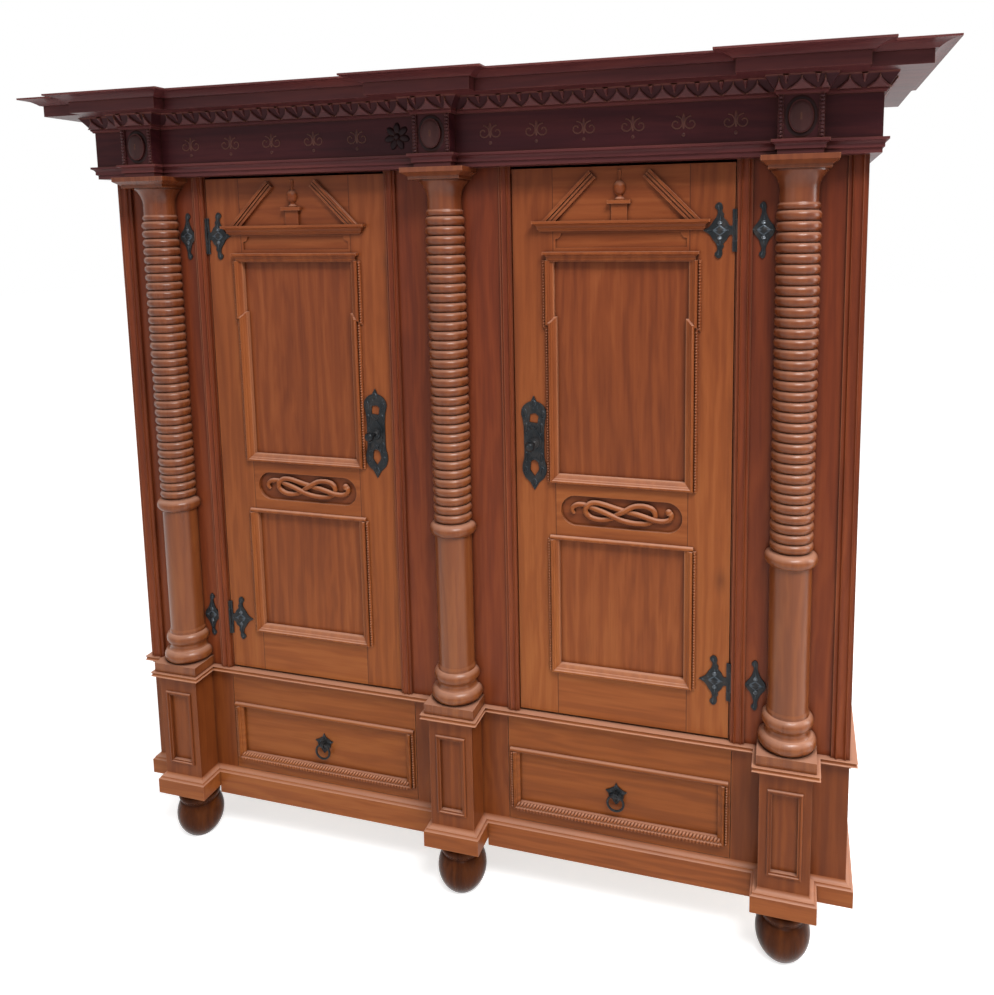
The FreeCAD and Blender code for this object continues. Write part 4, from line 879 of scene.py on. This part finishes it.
# Right half of the hollow's outline from its bottom up, in millimetres; a third value marks a sharp point.
HOLLOW = ((90, -33.5, 1), (116, -32.5), (133, -20), (140, 0), (133, 20), (116, 32.5), (90, 33.5, 1))


class KAS_OT_knots(bpy.types.Operator):
    """Carve the looped rope in the hollow of each door"""

    bl_idname = "kas.knots"
    bl_label = "Knots"

    def execute(self, context):
        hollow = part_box("knot_right")[1].y
        points = [(x / 1000, -out / 1000, z / 1000) for x, z, out in ROPE]
        for where, side in SIDES:
            deselect()
            place = at(DOOR_X * side, hollow, context.scene.kas.knot_level)
            ground = plate([metres(both_flanks(HOLLOW))], 0.0006, 0.0001)
            finish(strew(ground, [place]), f"knot_ground_{where}", "hollow", f"door_{where}", 35)
            rope = wire(points, ROPE_RADIUS, sides=3, taper=ROPE_TAPER)
            curl = ball((0.0078, 0.007, 0.0078), (0.111, -0.006, 0.0125), 16, 10)
            knot = strew(join([rope, curl]), [place])
            finish(knot, f"carved_knot_{where}", "moulded_along", f"door_{where}")
            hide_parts(f"knot_{where}")
        return {"FINISHED"}


# ---- ironwork

# Outlines in millimetres from the middle of each plate; a third value marks a sharp point. The hinges have
# the upper half from the free point inwards, the lock and the pull the right half from the top down.
LEAF = ((-35.5, 0, 1), (-26, 5), (-20, 10.5), (-14, 20), (-7, 30), (-5, 42), (-10.5, 50), (-8, 56),
        (-1, 59.5), (6, 50), (5, 41), (9, 33), (7, 29), (15, 20), (21, 10), (27.5, 10, 1))
FRAME_LEAF = ((-23.2, 0), (-19, 8), (-10, 20), (-6, 31), (-4, 42), (-9, 50), (-6.5, 56), (-0.5, 59.5),
              (5, 50), (4.6, 41), (7, 31), (12, 20), (21, 8), (23.2, 0))
LOCK = ((0, 113, 1), (5, 104), (6.5, 100), (13, 97.5), (24.5, 89), (30.8, 74), (27, 54), (24.8, 30),
        (24.8, 0), (24.8, -34), (29.8, -62), (23, -83), (10.8, -94.5), (6.5, -102), (0, -113, 1))
WINDOWS = (((-11, 50, 1), (9, 48, 1), (12, 66, 1), (4, 72, 1), (-9, 70, 1)),
           ((-8, -40, 1), (8, -40, 1), (12, -62, 1), (0, -80, 1), (-11, -64, 1)))
PULL = ((0, 27.5, 1), (4.5, 18.5), (10.5, 13.8), (16.5, 10), (26.2, 6.2, 1), (18.7, -2), (17.8, -10.5),
        (10.5, -15), (5.6, -22.5), (0, -28.5, 1))
PLATE_THICK = 0.0034
PLATE_EDGE = 0.0008
LUMP_RISE = 0.003
SCREW_RADIUS = 0.0052
SCREW_LEVEL = 0.016
SLOT_DEEP = 0.0012

# Lumps on the lock plate and on the pull plate: place across and up, half width and half height.
LOCK_LUMPS = ((0, 0.0955, 0.006, 0.008), (0, -0.0925, 0.006, 0.008), (-0.019, 0.036, 0.004, 0.013),
              (0.019, 0.036, 0.004, 0.013), (-0.019, -0.034, 0.004, 0.013), (0.019, -0.034, 0.004, 0.013),
              (-0.021, 0.072, 0.0045, 0.01), (0.0225, 0.07, 0.0045, 0.01), (-0.021, -0.066, 0.0045, 0.01),
              (0.021, -0.066, 0.0045, 0.01))
PULL_LUMPS = ((0, 0.0165, 0.003, 0.0055), (0.0145, 0.004, 0.0055, 0.0028), (-0.0145, 0.004, 0.0055, 0.0028),
              (0, -0.0175, 0.003, 0.0055))
PULL_BELOW_TOP = 0.026  # from the top of the pull plate down to its middle

# Points of the ridge along each hinge and of the spine up its arm, of the right door.
HINGE_RIDGE = ((-0.026, 0), (-0.01, -0.0006), (0.018, 0))
HINGE_SPINE = ((0.001, 0, 0.022), (0.0, -0.0007, 0.036), (-0.0035, 0, 0.053))
RIDGE_RADIUS, SPINE_RADIUS = 0.0016, 0.0012
CUSHION = (0.016, 0.0115, 0.0034)
LOCK_BOW = ((-0.011, -0.0034, 0.044), (0.0, -0.0044, 0.036), (0.011, -0.0034, 0.044))
BOW_RADIUS = 0.0024


def metres(outline, side=1):
    """An outline in metres, mirrored for the left side."""
    return [(p[0] * side / 1000, p[1] / 1000, *p[2:]) for p in outline]


def both_halves(outline):
    """Close a half outline with its mirror image below."""
    return list(outline) + [(p[0], -p[1], *p[2:]) for p in reversed(outline) if p[1]]


def both_flanks(outline):
    """Close a right-hand outline with its mirror image on the left."""
    return list(outline) + [(-p[0], *p[1:]) for p in reversed(outline) if p[0]]


def iron_plate(outlines):
    """A wrought plate on the front."""
    return plate(outlines, PLATE_THICK, PLATE_EDGE)


def on_plate(piece):
    """Move a piece from the back of a plate to its face."""
    piece.data.transform(at(0, -PLATE_THICK, 0))
    return piece


def screw():
    """A domed screw head with a slot, on the front of a plate."""
    bpy.ops.mesh.primitive_uv_sphere_add(segments=16, ring_count=8, radius=SCREW_RADIUS, scale=(1, 0.6, 1))
    head = settle(bpy.context.active_object)
    with editing():
        pick(head, "verts", lambda v: abs(v.co.z) < 0.0004 and v.co.y < -0.002)
        bpy.ops.transform.translate(value=(0, SLOT_DEEP, 0))
    return head


def cushion(wide, high, rise):
    """A faceted lozenge worked up out of a plate."""
    bpy.ops.mesh.primitive_cone_add(vertices=4, radius1=1, radius2=0.35, depth=rise,
                                    location=(0, -rise / 2, 0), rotation=(QUARTER, 0, 0))
    lozenge = settle(bpy.context.active_object)
    with editing(everything=True):
        bpy.ops.transform.resize(value=(wide, 1, high))
        pick(lozenge, "edges", lambda e: abs(e.verts[0].co.y - e.verts[1].co.y) > rise / 2)
        bpy.ops.mesh.bevel(offset=0.0008, segments=2)
    return lozenge


class KAS_OT_hinges(bpy.types.Operator):
    """Wrought plates with worked middles and domed screws on every hinge"""

    bl_idname = "kas.hinges"
    bl_label = "Hinge plates"

    def execute(self, context):
        settings = context.scene.kas
        levels = (settings.hinge_low, settings.hinge_high)
        for where, side in SIDES:
            for kind, outline, x, body in (("leaf", LEAF, settings.leaf_x, f"door_{where}"),
                                           ("plate", FRAME_LEAF, settings.plate_x, "carcass")):
                deselect()
                base = iron_plate([metres(both_halves(outline), side)])
                ridge = wire([(x_on * side, y, 0) for x_on, y in HINGE_RIDGE], RIDGE_RADIUS)
                spines = [wire([(x_on * side, y, z * up) for x_on, y, z in HINGE_SPINE], SPINE_RADIUS)
                          for up in (-1, 1)]
                lumps = [on_plate(piece) for piece in (cushion(*CUSHION), ridge, *spines)]
                worked = strew(join([base] + lumps), [at(x * side, FACE, z) for z in levels])
                finish(worked, f"hinge_{kind}_{where}", "blackened_iron", body, 40)
                heads = strew(screw(), [at(x * side, FACE - PLATE_THICK, z + SCREW_LEVEL * up)
                                        for z in levels for up in (-1, 1)])
                finish(heads, f"hinge_{kind}_screws_{where}", "screw_steel", body, 40)
        return {"FINISHED"}


class KAS_OT_locks(bpy.types.Operator):
    """Pierced lock plates with chased scrolls and a ringed spindle"""

    bl_idname = "kas.locks"
    bl_label = "Lock plates"

    def execute(self, context):
        for where, _ in SIDES:
            centre = middle(f"lock_plate_{where}")
            deselect()
            parts = [iron_plate([metres(both_flanks(LOCK))] + [metres(window) for window in WINDOWS])]
            parts += [ball((wide, 0.0036, high), (x, -LUMP_RISE, z), 10) for x, z, wide, high in LOCK_LUMPS]
            parts += [wire([(x, y, z * up) for x, y, z in LOCK_BOW], BOW_RADIUS) for up in (-1, 1)]
            parts.append(torus(0.0105, 0.0035, 24, 8, (0, -0.0055, 0)))
            worked = strew(join(parts), [at(centre.x, FACE, centre.z)])
            finish(worked, f"worked_lock_{where}", "blackened_iron", f"door_{where}", 40)
        return {"FINISHED"}


class KAS_OT_pulls(bpy.types.Operator):
    """Worked faces for the plates behind the drawer rings"""

    bl_idname = "kas.pulls"
    bl_label = "Drawer pulls"

    def execute(self, context):
        for where, _ in SIDES:
            low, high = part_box(f"pull_plate_{where}")
            deselect()
            base = iron_plate([metres(both_flanks(PULL))])
            lumps = [ball((wide, 0.0032, tall), (x, -LUMP_RISE, z)) for x, z, wide, tall in PULL_LUMPS]
            place = at((low.x + high.x) / 2, high.y, high.z - PULL_BELOW_TOP)
            worked = strew(join([base] + lumps), [place])
            finish(worked, f"worked_pull_{where}", "blackened_iron", f"drawer_{where}", 40)
        return {"FINISHED"}


# ---- stage

def background_rays(tree):
    """One for the rays that show the white background: seen directly, mirrored or through glass."""
    path = tree.add("ShaderNodeLightPath")
    shown = tree.math("MAXIMUM", path["Is Camera Ray"], path["Is Glossy Ray"])
    return tree.math("MAXIMUM", shown, path["Is Transmission Ray"])


# Each lamp's name, place, target, width, height and power in watts.
LAMPS = (
    ("key", (1.9, -2.3, 4.6), (0.1, 0, 0.9), 2.2, 1.2, 205),
    ("fill", (-2.4, -4.2, 1.8), (0, 0, 0.9), 2.0, 2.0, 8),
    ("side", (4.2, 0.6, 2.0), (0.9, 0.1, 1.0), 1.6, 2.2, 70),
)
FLOOR_GREY = (0.8, 0.8, 0.8, 1)
WHITE = (1, 1, 1, 1)
FLOOR_GLOW = 0.66
SKY_LOW, SKY_HIGH = 0.13, 0.75

# The camera: its place, its turns in radians, and the point of the picture that it faces, in pixels.
EYE = (0.7924, -2.045, 1.6683)
YAW, PITCH, ROLL = 0.28595, -0.12611, -0.01335
PICTURE = (994, 995)
FACED_POINT = (545.41, 336.97)
SENSOR_WIDTH = 36


def area_light(name, place, target, width, height, power):
    data = bpy.data.lights.new(name, "AREA")
    data.shape = "RECTANGLE"
    data.size = width
    data.size_y = height
    data.energy = power
    lamp = bpy.data.objects.new(name, data)
    bpy.context.scene.collection.objects.link(lamp)
    lamp.location = place
    lamp.rotation_euler = (Vector(target) - Vector(place)).to_track_quat("-Z", "Y").to_euler()


def make_floor():
    """A pale floor that keeps the shadow and is white where it is seen."""
    bpy.ops.mesh.primitive_plane_add(size=40, location=(0, 0, 0))
    floor = bpy.context.active_object
    floor.name = "floor"
    tree, shader = new_material("pale_floor")
    tree.fill(shader, {"Base Color": FLOOR_GREY, "Roughness": 0.9, "Specular IOR Level": 0.0,
                       "Emission Color": WHITE,
                       "Emission Strength": tree.times(background_rays(tree), FLOOR_GLOW)})
    wear_material(floor, "pale_floor")


def make_world():
    """A soft sky that is brighter above, and plain white where it is seen."""
    world = bpy.data.worlds.new("studio")
    bpy.context.scene.world = world
    world.use_nodes = True
    tree = Tree(world.node_tree)
    direction = tree.split(tree.add("ShaderNodeTexCoord")["Generated"])
    sky = tree.ramp(direction["Z"], -0.1, 1.0, SKY_LOW, SKY_HIGH)
    seen = background_rays(tree)
    strength = tree.math("ADD", tree.times(sky, tree.math("SUBTRACT", 1.0, seen)), seen)
    tree.fill(world.node_tree.nodes["Background"], {"Color": WHITE, "Strength": strength})


def make_camera():
    """The camera, with its picture shifted to where it faces."""
    scene = bpy.context.scene
    data = bpy.data.cameras.new("camera")
    camera = bpy.data.objects.new("camera", data)
    scene.collection.objects.link(camera)
    scene.camera = camera
    data.sensor_width = SENSOR_WIDTH
    data.lens = scene.kas.lens
    width, height = PICTURE
    data.shift_x = (width / 2 - FACED_POINT[0]) / height
    data.shift_y = (FACED_POINT[1] - height / 2) / height
    forward = Vector((-math.sin(YAW) * math.cos(PITCH), math.cos(YAW) * math.cos(PITCH), math.sin(PITCH)))
    right = Vector((math.cos(YAW), math.sin(YAW), 0))
    up = right.cross(forward)
    across = right * math.cos(ROLL) + up * math.sin(ROLL)
    above = up * math.cos(ROLL) - right * math.sin(ROLL)
    turn = Matrix((across, above, -forward)).transposed()
    camera.matrix_world = Matrix.Translation(Vector(EYE)) @ turn.to_4x4()


class KAS_OT_stage(bpy.types.Operator):
    """Pale floor, soft light and the camera"""

    bl_idname = "kas.stage"
    bl_label = "Stage"

    def execute(self, context):
        make_floor()
        make_world()
        for lamp in LAMPS:
            area_light(*lamp)
        make_camera()
        context.scene.view_settings.view_transform = "Standard"
        return {"FINISHED"}


class KAS_PT_panel(bpy.types.Panel):
    """Buttons for each step"""

    bl_label = "Kas Cupboard"
    bl_idname = "KAS_PT_panel"
    bl_space_type = "VIEW_3D"
    bl_region_type = "UI"
    bl_category = "Kas"

    def draw(self, context):
        for name in ("light", "warm", "deep", "iron", "lens"):
            self.layout.prop(context.scene.kas, name)
        for step in STEPS:
            self.layout.operator(step.bl_idname)


# The operators in the order in which they run.
STEPS = (KAS_OT_wood, KAS_OT_iron, KAS_OT_band, KAS_OT_frieze, KAS_OT_blocks, KAS_OT_ripple, KAS_OT_knots,
         KAS_OT_hinges, KAS_OT_locks, KAS_OT_pulls, KAS_OT_stage)
CLASSES = (KasSettings, *STEPS, KAS_PT_panel)


def register():
    for cls in CLASSES:
        bpy.utils.register_class(cls)
    bpy.types.Scene.kas = bpy.props.PointerProperty(type=KasSettings)


def unregister():
    del bpy.types.Scene.kas
    for cls in reversed(CLASSES):
        bpy.utils.unregister_class(cls)


def main():
    """Register the steps and run each in order."""
    register()
    for step in STEPS:
        group, name = step.bl_idname.split(".")
        getattr(getattr(bpy.ops, group), name)()


if __name__ == "__main__":
    main()
